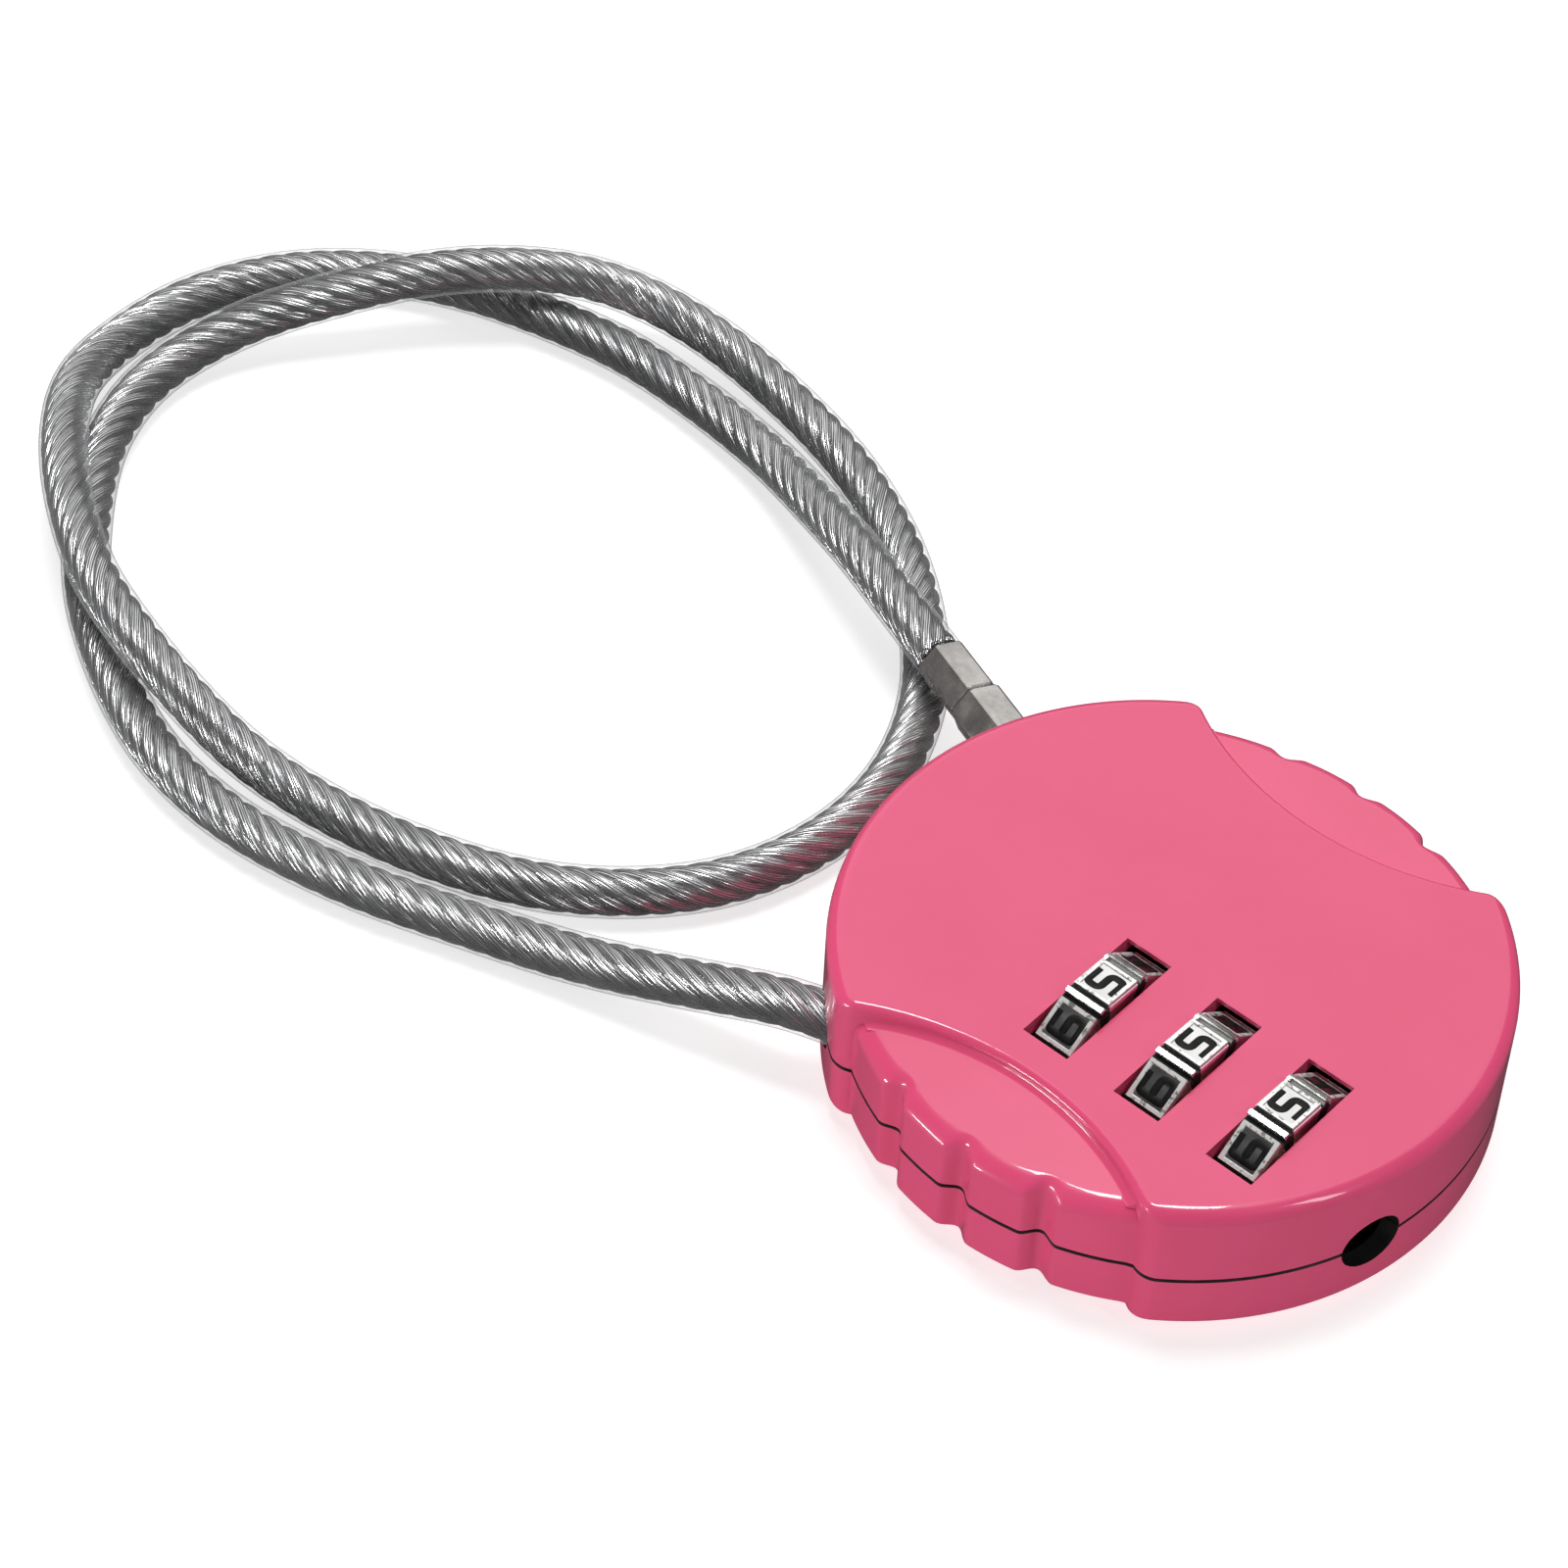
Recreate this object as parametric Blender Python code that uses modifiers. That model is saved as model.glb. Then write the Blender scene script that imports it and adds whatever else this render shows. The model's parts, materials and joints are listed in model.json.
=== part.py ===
"""Three-dial cable lock: a round two-shell body, three number wheels, and a steel cable
whose free end carries a locking pin.  Lengths are written in millimetres in the body's own
frame (origin at the centre of the body's underside) and scaled to metres by MM."""

import math

import bmesh
import bpy
from mathutils import Matrix, Vector

MM = 0.001

# Place of the body's frame in the world: the wheels' lower rims reach the ground.
BODY_X = 0.0
BODY_Z = 1.12

# Shells
BODY_RADIUS = 25.0
BODY_TOP = 12.3
PARTING_Z = 5.15
PARTING_GAP = 0.12
WALL = 1.4
TOP_FILLET = 1.2
BOTTOM_FILLET = 0.9
BITE_RADIUS = 25.6
BITE_CENTRE = 42.0
BITE_SHIFT = (0.4, -0.25)
BITE_FILLET_SHARE = 0.5
CORNER_RADIUS = 1.9
CRESCENT_RADIUS = 23.9
CRESCENT_TOP = 11.3
CRESCENT_TOP_AT = 17.0
CRESCENT_SLOPE = 0.175
CRESCENT_BOTTOM = 0.5
CRESCENT_FILLET = 1.2
CRESCENT_BOTTOM_FILLET = 0.5
CRESCENT_HIDDEN_RADIUS = 24.6
CRESCENT_ROOT_RADIUS = 20.0
CRESCENT_CAVITY_RADIUS = 22.2
CRESCENT_CAVITY_TOP = 8.7
FLUTE_DEPTH = 0.85
FLUTE_HALF_ANGLE = 3.7
FLUTE_SPACING = 16.5
STEP_START_ANGLE = 31.5
STEP_END_ANGLE = 38.5
CRESCENT_HALF_ANGLE = 42.0
FILLET_STEPS = 4

# Number wheels and code sleeves
WHEEL_X = (-0.7, 7.5, 15.7)
WHEEL_Y = -7.45
WHEEL_Z = 6.25
WHEEL_WIDTH = 3.42
WHEEL_BORE = 4.5
RIDGE_RADIUS = 7.6
PANEL_RADIUS = 7.3
GROOVE_RADIUS = 6.95
DIGITS = 10
RIDGE_PHASE = 15.35
WINDOW_WIDTH = 4.0
WINDOW_LENGTH = 11.8
WINDOW_Y = -7.85
SLEEVE_LENGTH = 4.4
SLEEVE_RADIUS = 4.3
SLEEVE_BORE = 2.6
GATE_BORE = 1.7
GATE_THICKNESS = 0.6
GATE_SLOT_WIDTH = 1.2

# Spindle, its clip and spring
SPINDLE_START = -7.6
SPINDLE_END = 17.7
SPINDLE_RADIUS = 1.4
FIN_REACH = 2.3
FIN_WIDTH = 0.8
FIN_LENGTH = 0.6
FIN_OFFSET = 1.0
CLIP_X = -6.8
SPRING_WIRE = 0.22

# Reset button behind the side hole
RESET_Y = -6.9
RESET_HOLE_RADIUS = 2.4
BUTTON_RADIUS = 2.1
GUIDE_RADIUS = 3.1

# Locking pin: where its axis meets the rim, and its heading into the body
PIN_ENTRY = (-22.2, 11.25)
PIN_ANGLE = -20.1
PIN_RADIUS = 1.8
PIN_HEAD_RADIUS = 2.35
PIN_GROOVE_RADIUS = 1.0
PIN_GROOVE_AT = 8.6
SOCKET_RADIUS = 2.65
CRIMP_RADIUS = 2.08

# Latch lever: its pivot stands beyond the pin's groove and to one side of the pin's axis
PIVOT_BEYOND = 5.05
PIVOT_ASIDE = 3.4
LEVER_THICKNESS = 1.6
LEVER_HUB = 2.0
LEVER_TAIL_X = -9.0
LEVER_TAIL_RADIUS = 1.1
PIVOT_RADIUS = 0.9

# Steel cable
CABLE_RADIUS = 2.0
CABLE_ENTRY = (-17.9, -17.75)
CABLE_ANGLE = 18.0
CABLE_HOLE_RADIUS = 2.25
CABLE_STEP = 8.0
FACE_GAP = 0.3
ANCHOR_START = 5.6
ANCHOR_LENGTH = 4.4
ANCHOR_RADIUS = 2.3

# Screws that hold the shells together
SCREW_PLACES = ((3.0, 12.5), (17.5, 7.5), (-16.5, -7.0), (6.5, -19.2))
BOSS_RADIUS = 1.9
SCREW_RADIUS = 0.75
SCREW_HEAD_RADIUS = 1.6
SCREW_HEAD_HEIGHT = 0.9

# The cable's route from the crimp to the fixed end, chosen along its two flat turns.  It lies
# at a height of 0.9, its lower side on the ground, and rises 4.4 where it crosses itself.
CABLE_ROUTE = [
    (-40.7, 18.0, 5.2), (-48.0, 21.0, 4.6), (-55.5, 24.2, 2.9), (-63.0, 27.0, 1.4),
    (-71.5, 28.4, 0.9), (-80.0, 28.6, 0.9), (-88.0, 27.3, 0.9), (-96.0, 24.9, 0.9),
    (-103.0, 20.9, 0.9), (-108.3, 15.2, 0.9), (-111.4, 8.0, 0.9), (-111.6, 0.5, 1.2),
    (-108.9, -6.9, 2.9), (-103.3, -13.4, 4.8), (-96.9, -18.6, 5.4), (-89.6, -22.9, 5.4),
    (-82.3, -25.3, 5.1), (-75.5, -26.4, 3.9), (-68.5, -26.5, 2.1), (-60.5, -25.4, 1.0),
    (-52.0, -23.4, 0.9), (-44.3, -20.2, 0.9), (-38.1, -15.4, 0.9), (-33.5, -9.0, 0.9),
    (-31.4, -1.0, 0.9), (-32.1, 7.0, 0.9), (-35.6, 14.8, 0.9), (-41.1, 21.2, 0.9),
    (-48.5, 26.9, 0.9), (-57.5, 31.2, 0.9), (-67.5, 33.7, 1.1), (-76.8, 34.0, 2.3),
    (-84.6, 31.3, 4.2), (-90.6, 26.2, 5.4), (-95.8, 20.6, 5.2), (-100.2, 14.8, 4.0),
    (-104.4, 8.8, 2.3), (-106.4, 2.8, 1.1), (-105.9, -3.2, 0.9), (-103.1, -9.6, 0.9),
    (-98.2, -15.7, 0.9), (-91.8, -21.8, 0.9), (-83.5, -26.8, 0.9), (-74.5, -30.3, 0.9),
    (-65.0, -31.2, 0.9), (-55.0, -29.6, 0.9), (-45.5, -26.5, 0.9), (-36.5, -23.6, 1.4),
    (-28.0, -21.0, 3.3), (-22.0, -19.1, 4.8),
]


def polar(radius, degrees):
    """A point at this angle, counted anticlockwise from +X."""
    angle = math.radians(degrees)
    return (radius * math.cos(angle), radius * math.sin(angle))


def remove_everything():
    for thing in list(bpy.data.objects):
        bpy.data.objects.remove(thing, do_unlink=True)


def make_collection(name):
    collection = bpy.data.collections.new(name)
    bpy.context.scene.collection.children.link(collection)
    return collection


def make_material(name, colour, roughness, metallic):
    material = bpy.data.materials.new(name)
    material.use_nodes = True
    shader = material.node_tree.nodes["Principled BSDF"]
    shader.inputs["Base Color"].default_value = (*colour, 1.0)
    shader.inputs["Roughness"].default_value = roughness
    shader.inputs["Metallic"].default_value = metallic
    return material


class Workshop:
    """Keeps the collections, the frame empty and the materials that every part uses."""

    def __init__(self):
        self.parts = make_collection("cable_lock")
        self.cutters = make_collection("cutters")
        self.frame = bpy.data.objects.new("body_frame", None)
        self.frame.location = (BODY_X * MM, 0.0, BODY_Z * MM)
        self.parts.objects.link(self.frame)
        self.paint = make_material("pink_enamel", (0.80, 0.15, 0.28), 0.22, 0.0)
        self.nickel = make_material("nickel_plate", (0.72, 0.72, 0.72), 0.22, 1.0)
        self.steel = make_material("plain_steel", (0.55, 0.55, 0.57), 0.38, 1.0)
        self.brass = make_material("brass", (0.78, 0.60, 0.30), 0.35, 1.0)
        self.jacket = make_material("clear_jacket", (0.80, 0.82, 0.84), 0.15, 0.4)

    def add(self, name, bm, material, location=(0, 0, 0), rotation=(0, 0, 0)):
        """Turn a bmesh in millimetres into a named part, placed in the body's frame."""
        bmesh.ops.recalc_face_normals(bm, faces=bm.faces)
        bmesh.ops.scale(bm, vec=(MM, MM, MM), verts=bm.verts)
        mesh = bpy.data.meshes.new(name)
        bm.to_mesh(mesh)
        bm.free()
        mesh.shade_smooth()
        mesh.set_sharp_from_angle(angle=math.radians(35))
        mesh.materials.append(material)
        return self.add_mesh(name, mesh, location, rotation)

    def add_mesh(self, name, mesh, location=(0, 0, 0), rotation=(0, 0, 0)):
        part = bpy.data.objects.new(name, mesh)
        self.parts.objects.link(part)
        part.parent = self.frame
        part.location = Vector(location) * MM
        part.rotation_euler = rotation
        return part

    def combine(self, part, operation, name, bm, location=(0, 0, 0), rotation=(0, 0, 0)):
        """Join or cut a part with a tool solid, through a Boolean modifier."""
        tool = self.add(name, bm, self.steel, location, rotation)
        self.parts.objects.unlink(tool)
        self.cutters.objects.link(tool)
        tool.hide_render = True
        tool.display_type = "WIRE"
        modifier = part.modifiers.new(name, "BOOLEAN")
        modifier.operation = operation
        modifier.solver = "EXACT"
        modifier.object = tool

    def cut(self, part, name, bm, location=(0, 0, 0), rotation=(0, 0, 0)):
        self.combine(part, "DIFFERENCE", name, bm, location, rotation)

    def join(self, part, name, bm, location=(0, 0, 0), rotation=(0, 0, 0)):
        self.combine(part, "UNION", name, bm, location, rotation)


def loft(rings, closed=False):
    """Skin equal-length rings of points; an open loft gets a flat cap at each end."""
    bm = bmesh.new()
    rows = [[bm.verts.new(point) for point in ring] for ring in rings]
    pairs = list(zip(rows, rows[1:]))
    if closed:
        pairs.append((rows[-1], rows[0]))
    for low, high in pairs:
        for i in range(len(low)):
            j = (i + 1) % len(low)
            bm.faces.new((low[i], low[j], high[j], high[i]))
    if not closed:
        bm.faces.new(rows[0])
        bm.faces.new(rows[-1])
    return bm


def cylinder(radius, start, end, axis="Z", sides=32, end_radius=None):
    """A cylinder or cone between two places on an axis."""
    bm = bmesh.new()
    bmesh.ops.create_cone(
        bm, cap_ends=True, segments=sides, radius1=radius,
        radius2=radius if end_radius is None else end_radius, depth=end - start)
    bmesh.ops.translate(bm, vec=(0, 0, (start + end) / 2), verts=bm.verts)
    if axis == "X":
        bmesh.ops.rotate(bm, matrix=Matrix.Rotation(math.pi / 2, 3, "Y"), verts=bm.verts)
    return bm


def box(size, centre=(0, 0, 0)):
    bm = bmesh.new()
    bmesh.ops.create_cube(bm, size=1.0)
    bmesh.ops.scale(bm, vec=size, verts=bm.verts)
    bmesh.ops.translate(bm, vec=centre, verts=bm.verts)
    return bm


def turned(workshop, name, profile, material, location=(0, 0, 0), rotation=(0, 0, 0), steps=32):
    """Spin a closed profile of (radius, height) points about Z, running down its outer side."""
    mesh = bpy.data.meshes.new(name)
    points = [(radius * MM, 0.0, height * MM) for radius, height in profile]
    edges = [(i, i + 1) for i in range(len(points) - 1)]
    mesh.from_pydata(points, edges, [])
    mesh.materials.append(material)
    part = workshop.add_mesh(name, mesh, location, rotation)
    screw = part.modifiers.new("turn", "SCREW")
    screw.steps = steps
    screw.render_steps = steps
    screw.use_merge_vertices = True
    screw.merge_threshold = 0.000001
    screw.use_smooth_shade = True
    return part


def heading(vector):
    """The direction of a flat vector, in degrees anticlockwise from +X."""
    return math.degrees(math.atan2(vector[1], vector[0]))


def slab_spots():
    """The body's outline, a circle bitten on both sides with its four corners rounded.  Each
    spot lists its arc's centre and radius, its angle, 1 or -1 as the outline's inset shrinks or
    swells the arc, and the share of the fillet that it gets."""
    reach = BODY_RADIUS - CORNER_RADIUS
    outside = BITE_RADIUS + CORNER_RADIUS
    bites = [Vector((BITE_SHIFT[0], side * BITE_CENTRE + BITE_SHIFT[1])) for side in (1, -1)]
    spots = []

    def arc(centre, radius, start, end, count, sign, shares):
        for i in range(count):
            angle = start + (end - start) * i / count
            share = shares[0] + (shares[1] - shares[0]) * i / count
            spots.append((centre, radius, angle, sign, share))

    corner_angles = []
    for bite in bites:
        along = (reach ** 2 - outside ** 2 + bite.length ** 2) / (2 * bite.length)
        tilt = math.degrees(math.acos(along / reach))
        corner_angles.append((heading(bite) % 360 - tilt, heading(bite) % 360 + tilt))
    rim_start = corner_angles[-1][1] - 360
    low_share = BITE_FILLET_SHARE
    for bite, (first, second) in zip(bites, corner_angles):
        a = Vector(polar(reach, first))
        b = Vector(polar(reach, second))
        turn_in = first + (heading(bite - a) - first) % 360
        turn_out = second - (second - heading(bite - b)) % 360
        arc((0, 0), BODY_RADIUS, rim_start, first, 44, 1, (1.0, 1.0))
        arc(a, CORNER_RADIUS, first, turn_in, 7, 1, (1.0, low_share))
        arc(bite, BITE_RADIUS, turn_in + 180, turn_out + 180, 26, -1, (low_share, low_share))
        arc(b, CORNER_RADIUS, turn_out, second, 7, 1, (low_share, 1.0))
        rim_start = second
    return spots


def slab_ring(inset, z, drop=0.0, even=False):
    """The body's outline moved inwards and down; an even ring ignores the fillet's shares."""
    ring = []
    for centre, radius, angle, sign, share in slab_spots():
        if even:
            share = 1.0
        x, y = polar(radius - sign * inset * share, angle)
        ring.append((centre[0] + x, centre[1] + y, z - drop * share))
    return ring


def crescent_radius(angle):
    """Radius of the fluted crescents at this many degrees off the crescents' middle."""
    radius = CRESCENT_RADIUS
    for flute in (-FLUTE_SPACING, 0.0, FLUTE_SPACING):
        off = abs(angle - flute) / FLUTE_HALF_ANGLE
        if off < 1:
            radius -= FLUTE_DEPTH * (0.5 + 0.5 * math.cos(math.pi * off))
    rise = (abs(angle) - STEP_START_ANGLE) / (STEP_END_ANGLE - STEP_START_ANGLE)
    rise = min(max(rise, 0.0), 1.0)
    rise = rise * rise * (3 - 2 * rise)
    return radius + rise * (CRESCENT_HIDDEN_RADIUS - CRESCENT_RADIUS)


def inset_radius(angle, inset):
    """Radius where a ball of this size fits inside the fluted outline."""
    reach = crescent_radius(angle) - inset
    for step in range(-10, 11):
        off = 0.5 * step
        along, across = polar(crescent_radius(angle + off), off)
        if abs(across) < inset:
            reach = min(reach, along - math.sqrt(inset ** 2 - across ** 2))
    return reach


def crescent_ring(side, inset, z, slope=0.0):
    """One crescent's outline moved inwards, on a level or outward-sloping plane."""
    middle = 90.0 * side
    count = 56
    ring = []
    for i in range(count + 1):
        off = CRESCENT_HALF_ANGLE * (2 * i / count - 1)
        ring.append(polar(inset_radius(off, inset), middle + off))
    for off in (CRESCENT_HALF_ANGLE, -CRESCENT_HALF_ANGLE):
        ring.append(polar(CRESCENT_ROOT_RADIUS, middle + off))
    return [(x, y, z - slope * (abs(y) - CRESCENT_TOP_AT)) for x, y in ring]


def fillet_steps(fillet):
    """How far in and down a rounded edge has turned, step by step."""
    turns = [math.pi / 2 * i / FILLET_STEPS for i in range(FILLET_STEPS + 1)]
    return [(fillet * (1 - math.cos(turn)), fillet * (1 - math.sin(turn))) for turn in turns]


def rounded_slab(flat_z, edge_z, fillet):
    """The bitten slab from a flat face at flat_z to a rounded edge at edge_z."""
    direction = 1 if edge_z > flat_z else -1
    rings = [slab_ring(0.0, flat_z)]
    rings += [slab_ring(inset, edge_z, direction * drop) for inset, drop in fillet_steps(fillet)]
    return loft(rings)


def rounded_crescent(side, flat_z, edge_z, fillet, slope=0.0):
    direction = 1 if edge_z > flat_z else -1
    rings = [crescent_ring(side, 0.0, flat_z)]
    rings += [crescent_ring(side, inset, edge_z - direction * drop, slope)
              for inset, drop in fillet_steps(fillet)]
    return loft(rings)


def cut_openings(workshop, shell, side, ceiling):
    """Windows, pin socket, cable hole and reset hole, which both shells share."""
    for i, x in enumerate(WHEEL_X):
        window = box((WINDOW_WIDTH, WINDOW_LENGTH, 6.0), (x, WINDOW_Y, ceiling))
        workshop.cut(shell, f"{side}_window_{i + 1}", window)
        room = cylinder(RIDGE_RADIUS + FACE_GAP, -WINDOW_WIDTH / 2, WINDOW_WIDTH / 2, "X", 48)
        workshop.cut(shell, f"{side}_wheel_room_{i + 1}", room, (x, WHEEL_Y, WHEEL_Z))
    turn_in = math.radians(PIN_ANGLE)
    workshop.cut(shell, f"{side}_pin_socket", cylinder(SOCKET_RADIUS, -4.0, 4.0, "X"),
                 (*PIN_ENTRY, PARTING_Z), (0, 0, turn_in))
    workshop.cut(shell, f"{side}_cable_hole", cylinder(CABLE_HOLE_RADIUS, -4.0, 5.5, "X"),
                 (*CABLE_ENTRY, PARTING_Z), (0, 0, math.radians(CABLE_ANGLE)))
    workshop.cut(shell, f"{side}_reset_hole", cylinder(RESET_HOLE_RADIUS, -3.0, 3.0, "X"),
                 (BODY_RADIUS - 1.0, RESET_Y, PARTING_Z))


def build_upper_shell(workshop):
    low = PARTING_Z + PARTING_GAP / 2
    shell = workshop.add("upper_shell", rounded_slab(low, BODY_TOP, TOP_FILLET), workshop.paint)
    for side in (-1, 1):
        crescent = rounded_crescent(side, low, CRESCENT_TOP, CRESCENT_FILLET, CRESCENT_SLOPE)
        workshop.join(shell, f"upper_crescent_{side}", crescent)
    cavity = loft([slab_ring(WALL, z, even=True) for z in (low - 1, BODY_TOP - WALL)])
    workshop.cut(shell, "upper_cavity", cavity)
    workshop.cut(shell, "upper_crescent_cavity",
                 cylinder(CRESCENT_CAVITY_RADIUS, low - 1, CRESCENT_CAVITY_TOP, sides=64))
    for i, (x, y) in enumerate(SCREW_PLACES):
        top = BODY_TOP if i < 3 else CRESCENT_CAVITY_TOP + WALL
        workshop.join(shell, f"upper_boss_{i + 1}",
                      cylinder(BOSS_RADIUS, low, top - WALL / 2, sides=16), (x, y, 0))
        workshop.cut(shell, f"upper_pilot_{i + 1}",
                     cylinder(SCREW_RADIUS + 0.1, low - 1, top - 2.5, sides=12), (x, y, 0))
    cut_openings(workshop, shell, "upper", BODY_TOP)


def build_lower_shell(workshop):
    high = PARTING_Z - PARTING_GAP / 2
    shell = workshop.add("lower_shell", rounded_slab(high, 0.0, BOTTOM_FILLET), workshop.paint)
    for side in (-1, 1):
        crescent = rounded_crescent(side, high, CRESCENT_BOTTOM, CRESCENT_BOTTOM_FILLET)
        workshop.join(shell, f"lower_crescent_{side}", crescent)
    cavity = loft([slab_ring(WALL, z, even=True) for z in (WALL, high + 1)])
    workshop.cut(shell, "lower_cavity", cavity)
    workshop.cut(shell, "lower_crescent_cavity",
                 cylinder(CRESCENT_CAVITY_RADIUS, CRESCENT_BOTTOM + WALL, high + 1, sides=64))
    for i, (x, y) in enumerate(SCREW_PLACES):
        floor = screw_floor(i)
        workshop.join(shell, f"lower_boss_{i + 1}",
                      cylinder(BOSS_RADIUS, floor + 0.7, high, sides=16), (x, y, 0))
        workshop.cut(shell, f"lower_clearance_{i + 1}",
                     cylinder(SCREW_RADIUS + 0.3, floor - 1, high + 1, sides=12), (x, y, 0))
        workshop.cut(shell, f"lower_counterbore_{i + 1}",
                     cylinder(SCREW_HEAD_RADIUS + 0.2, floor - 1, floor + 1.3, sides=20), (x, y, 0))
    cut_openings(workshop, shell, "lower", 0.0)


def screw_floor(index):
    """Height of the underside where this screw enters: one screw is in a crescent."""
    return 0.0 if index < 3 else CRESCENT_BOTTOM


def build_screws(workshop):
    for i, (x, y) in enumerate(SCREW_PLACES):
        floor = screw_floor(i) + 0.25
        head = floor + SCREW_HEAD_HEIGHT
        screw = workshop.add(f"shell_screw_{i + 1}",
                             cylinder(SCREW_HEAD_RADIUS, floor, head, sides=20),
                             workshop.steel, (x, y, 0))
        workshop.join(screw, f"screw_{i + 1}_shank",
                      cylinder(SCREW_RADIUS, head - 0.2, PARTING_Z + 1.7, sides=12), (x, y, 0))
        workshop.cut(screw, f"screw_{i + 1}_slot",
                     box((SCREW_HEAD_RADIUS * 2.4, 0.5, 0.6), (0, 0, floor)), (x, y, 0))


def wheel_section(x, panel, ridge):
    """One ring of a number wheel: ten flat panels with a ridge between each two."""
    half_panel = 11.5
    flat = 1 / math.cos(math.radians(half_panel))
    steps = [(-half_panel, panel * flat), (half_panel, panel * flat),
             (13.0, GROOVE_RADIUS), (16.2, GROOVE_RADIUS),
             (16.8, ridge), (19.2, ridge), (19.8, GROOVE_RADIUS), (23.0, GROOVE_RADIUS)]
    ring = []
    for digit in range(DIGITS):
        middle = 90 + RIDGE_PHASE - 18 + 36 * digit
        for off, radius in steps:
            y, z = polar(radius, middle + off)
            ring.append((x, y, z))
    return ring


def wheel_bore(x):
    """The bore's ring, each point level with its partner on the rim."""
    ring = []
    for _, y, z in wheel_section(x, PANEL_RADIUS, RIDGE_RADIUS):
        reach = WHEEL_BORE / math.hypot(y, z)
        ring.append((x, y * reach, z * reach))
    return ring


def build_number_wheels(workshop):
    half = WHEEL_WIDTH / 2
    shoulder = half - 0.2
    for i, x in enumerate(WHEEL_X):
        rings = [wheel_bore(-half),
                 wheel_section(-half, GROOVE_RADIUS + 0.05, RIDGE_RADIUS - 0.1),
                 wheel_section(-shoulder, PANEL_RADIUS, RIDGE_RADIUS),
                 wheel_section(shoulder, PANEL_RADIUS, RIDGE_RADIUS),
                 wheel_section(half, GROOVE_RADIUS + 0.05, RIDGE_RADIUS - 0.1),
                 wheel_bore(half)]
        workshop.add(f"number_wheel_{i + 1}", loft(rings, closed=True), workshop.nickel,
                     (x, WHEEL_Y, WHEEL_Z))


def build_code_sleeves(workshop):
    half = SLEEVE_LENGTH / 2
    gate = GATE_THICKNESS / 2
    profile = [(SLEEVE_BORE, half), (SLEEVE_RADIUS, half), (SLEEVE_RADIUS, -half),
               (SLEEVE_BORE, -half), (SLEEVE_BORE, -gate), (GATE_BORE, -gate),
               (GATE_BORE, gate), (SLEEVE_BORE, gate), (SLEEVE_BORE, half)]
    for i, x in enumerate(WHEEL_X):
        place = (x, WHEEL_Y, WHEEL_Z)
        sleeve = turned(workshop, f"code_sleeve_{i + 1}", profile, workshop.brass, place,
                        (0, math.pi / 2, 0), steps=28)
        slot = box((GATE_THICKNESS * 2, GATE_SLOT_WIDTH, 2.3), (0, 0, 1.35))
        workshop.cut(sleeve, f"sleeve_{i + 1}_slot", slot, place)


def build_spindle(workshop):
    place = (0, WHEEL_Y, WHEEL_Z)
    spindle = workshop.add("spindle", cylinder(SPINDLE_RADIUS, SPINDLE_START, SPINDLE_END, "X", 24),
                           workshop.steel, place)
    for i, x in enumerate(WHEEL_X):
        fin = box((FIN_LENGTH, FIN_WIDTH, FIN_REACH - 0.5), (x + FIN_OFFSET, 0, FIN_REACH / 2 + 0.25))
        workshop.join(spindle, f"fin_{i + 1}", fin, place)
    ring = [(SPINDLE_RADIUS + 0.1, 0.25), (2.9, 0.25), (2.9, -0.25),
            (SPINDLE_RADIUS + 0.1, -0.25), (SPINDLE_RADIUS + 0.1, 0.25)]
    turned(workshop, "spindle_clip", ring, workshop.steel, (CLIP_X, WHEEL_Y, WHEEL_Z),
           (0, math.pi / 2, 0), steps=24)


def coil_points(start, end, radius, turns):
    """A coil along X, with ten points to each turn."""
    count = int(turns * 10)
    points = []
    for i in range(count + 1):
        y, z = polar(radius, 36.0 * i)
        points.append((start + (end - start) * i / count, y, z))
    return points


def tube(workshop, name, points, radius, material, resolution=2):
    """A POLY curve swept to a round tube with filled caps, left as a curve."""
    curve = bpy.data.curves.new(name, "CURVE")
    curve.dimensions = "3D"
    curve.bevel_depth = radius * MM
    curve.bevel_resolution = resolution
    curve.use_fill_caps = True
    spline = curve.splines.new("POLY")
    spline.points.add(len(points) - 1)
    for spot, point in zip(spline.points, points):
        spot.co = (*(Vector(point) * MM), 1.0)
    curve.materials.append(material)
    part = bpy.data.objects.new(name, curve)
    workshop.parts.objects.link(part)
    part.parent = workshop.frame
    return part


def build_springs(workshop):
    spindle_spring = tube(workshop, "spindle_spring", coil_points(-6.1, -3.3, 2.2, 3.5),
                          SPRING_WIRE, workshop.steel)
    spindle_spring.location = Vector((0, WHEEL_Y, WHEEL_Z)) * MM
    reset_spring = tube(workshop, "reset_spring", coil_points(18.95, 20.55, 1.5, 2.0),
                        SPRING_WIRE * 0.8, workshop.steel)
    reset_spring.location = Vector((0, RESET_Y, PARTING_Z)) * MM


def build_reset_button(workshop):
    """The button stands in a cup with an open floor, just inside the side hole."""
    place = (0, RESET_Y, PARTING_Z)
    button = [(0, 21.5), (BUTTON_RADIUS - 0.4, 21.5), (BUTTON_RADIUS, 21.1),
              (BUTTON_RADIUS, 20.8), (0.9, 20.8), (0.9, 19.5), (0, 19.5)]
    turned(workshop, "reset_button", button, workshop.nickel, place, (0, math.pi / 2, 0), steps=24)
    bore = BUTTON_RADIUS + 0.2
    cup = [(bore, 21.0), (GUIDE_RADIUS, 21.0), (GUIDE_RADIUS, 18.3), (1.1, 18.3),
           (1.1, 18.7), (bore, 18.7), (bore, 21.0)]
    turned(workshop, "reset_guide", cup, workshop.steel, place, (0, math.pi / 2, 0), steps=24)


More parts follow.
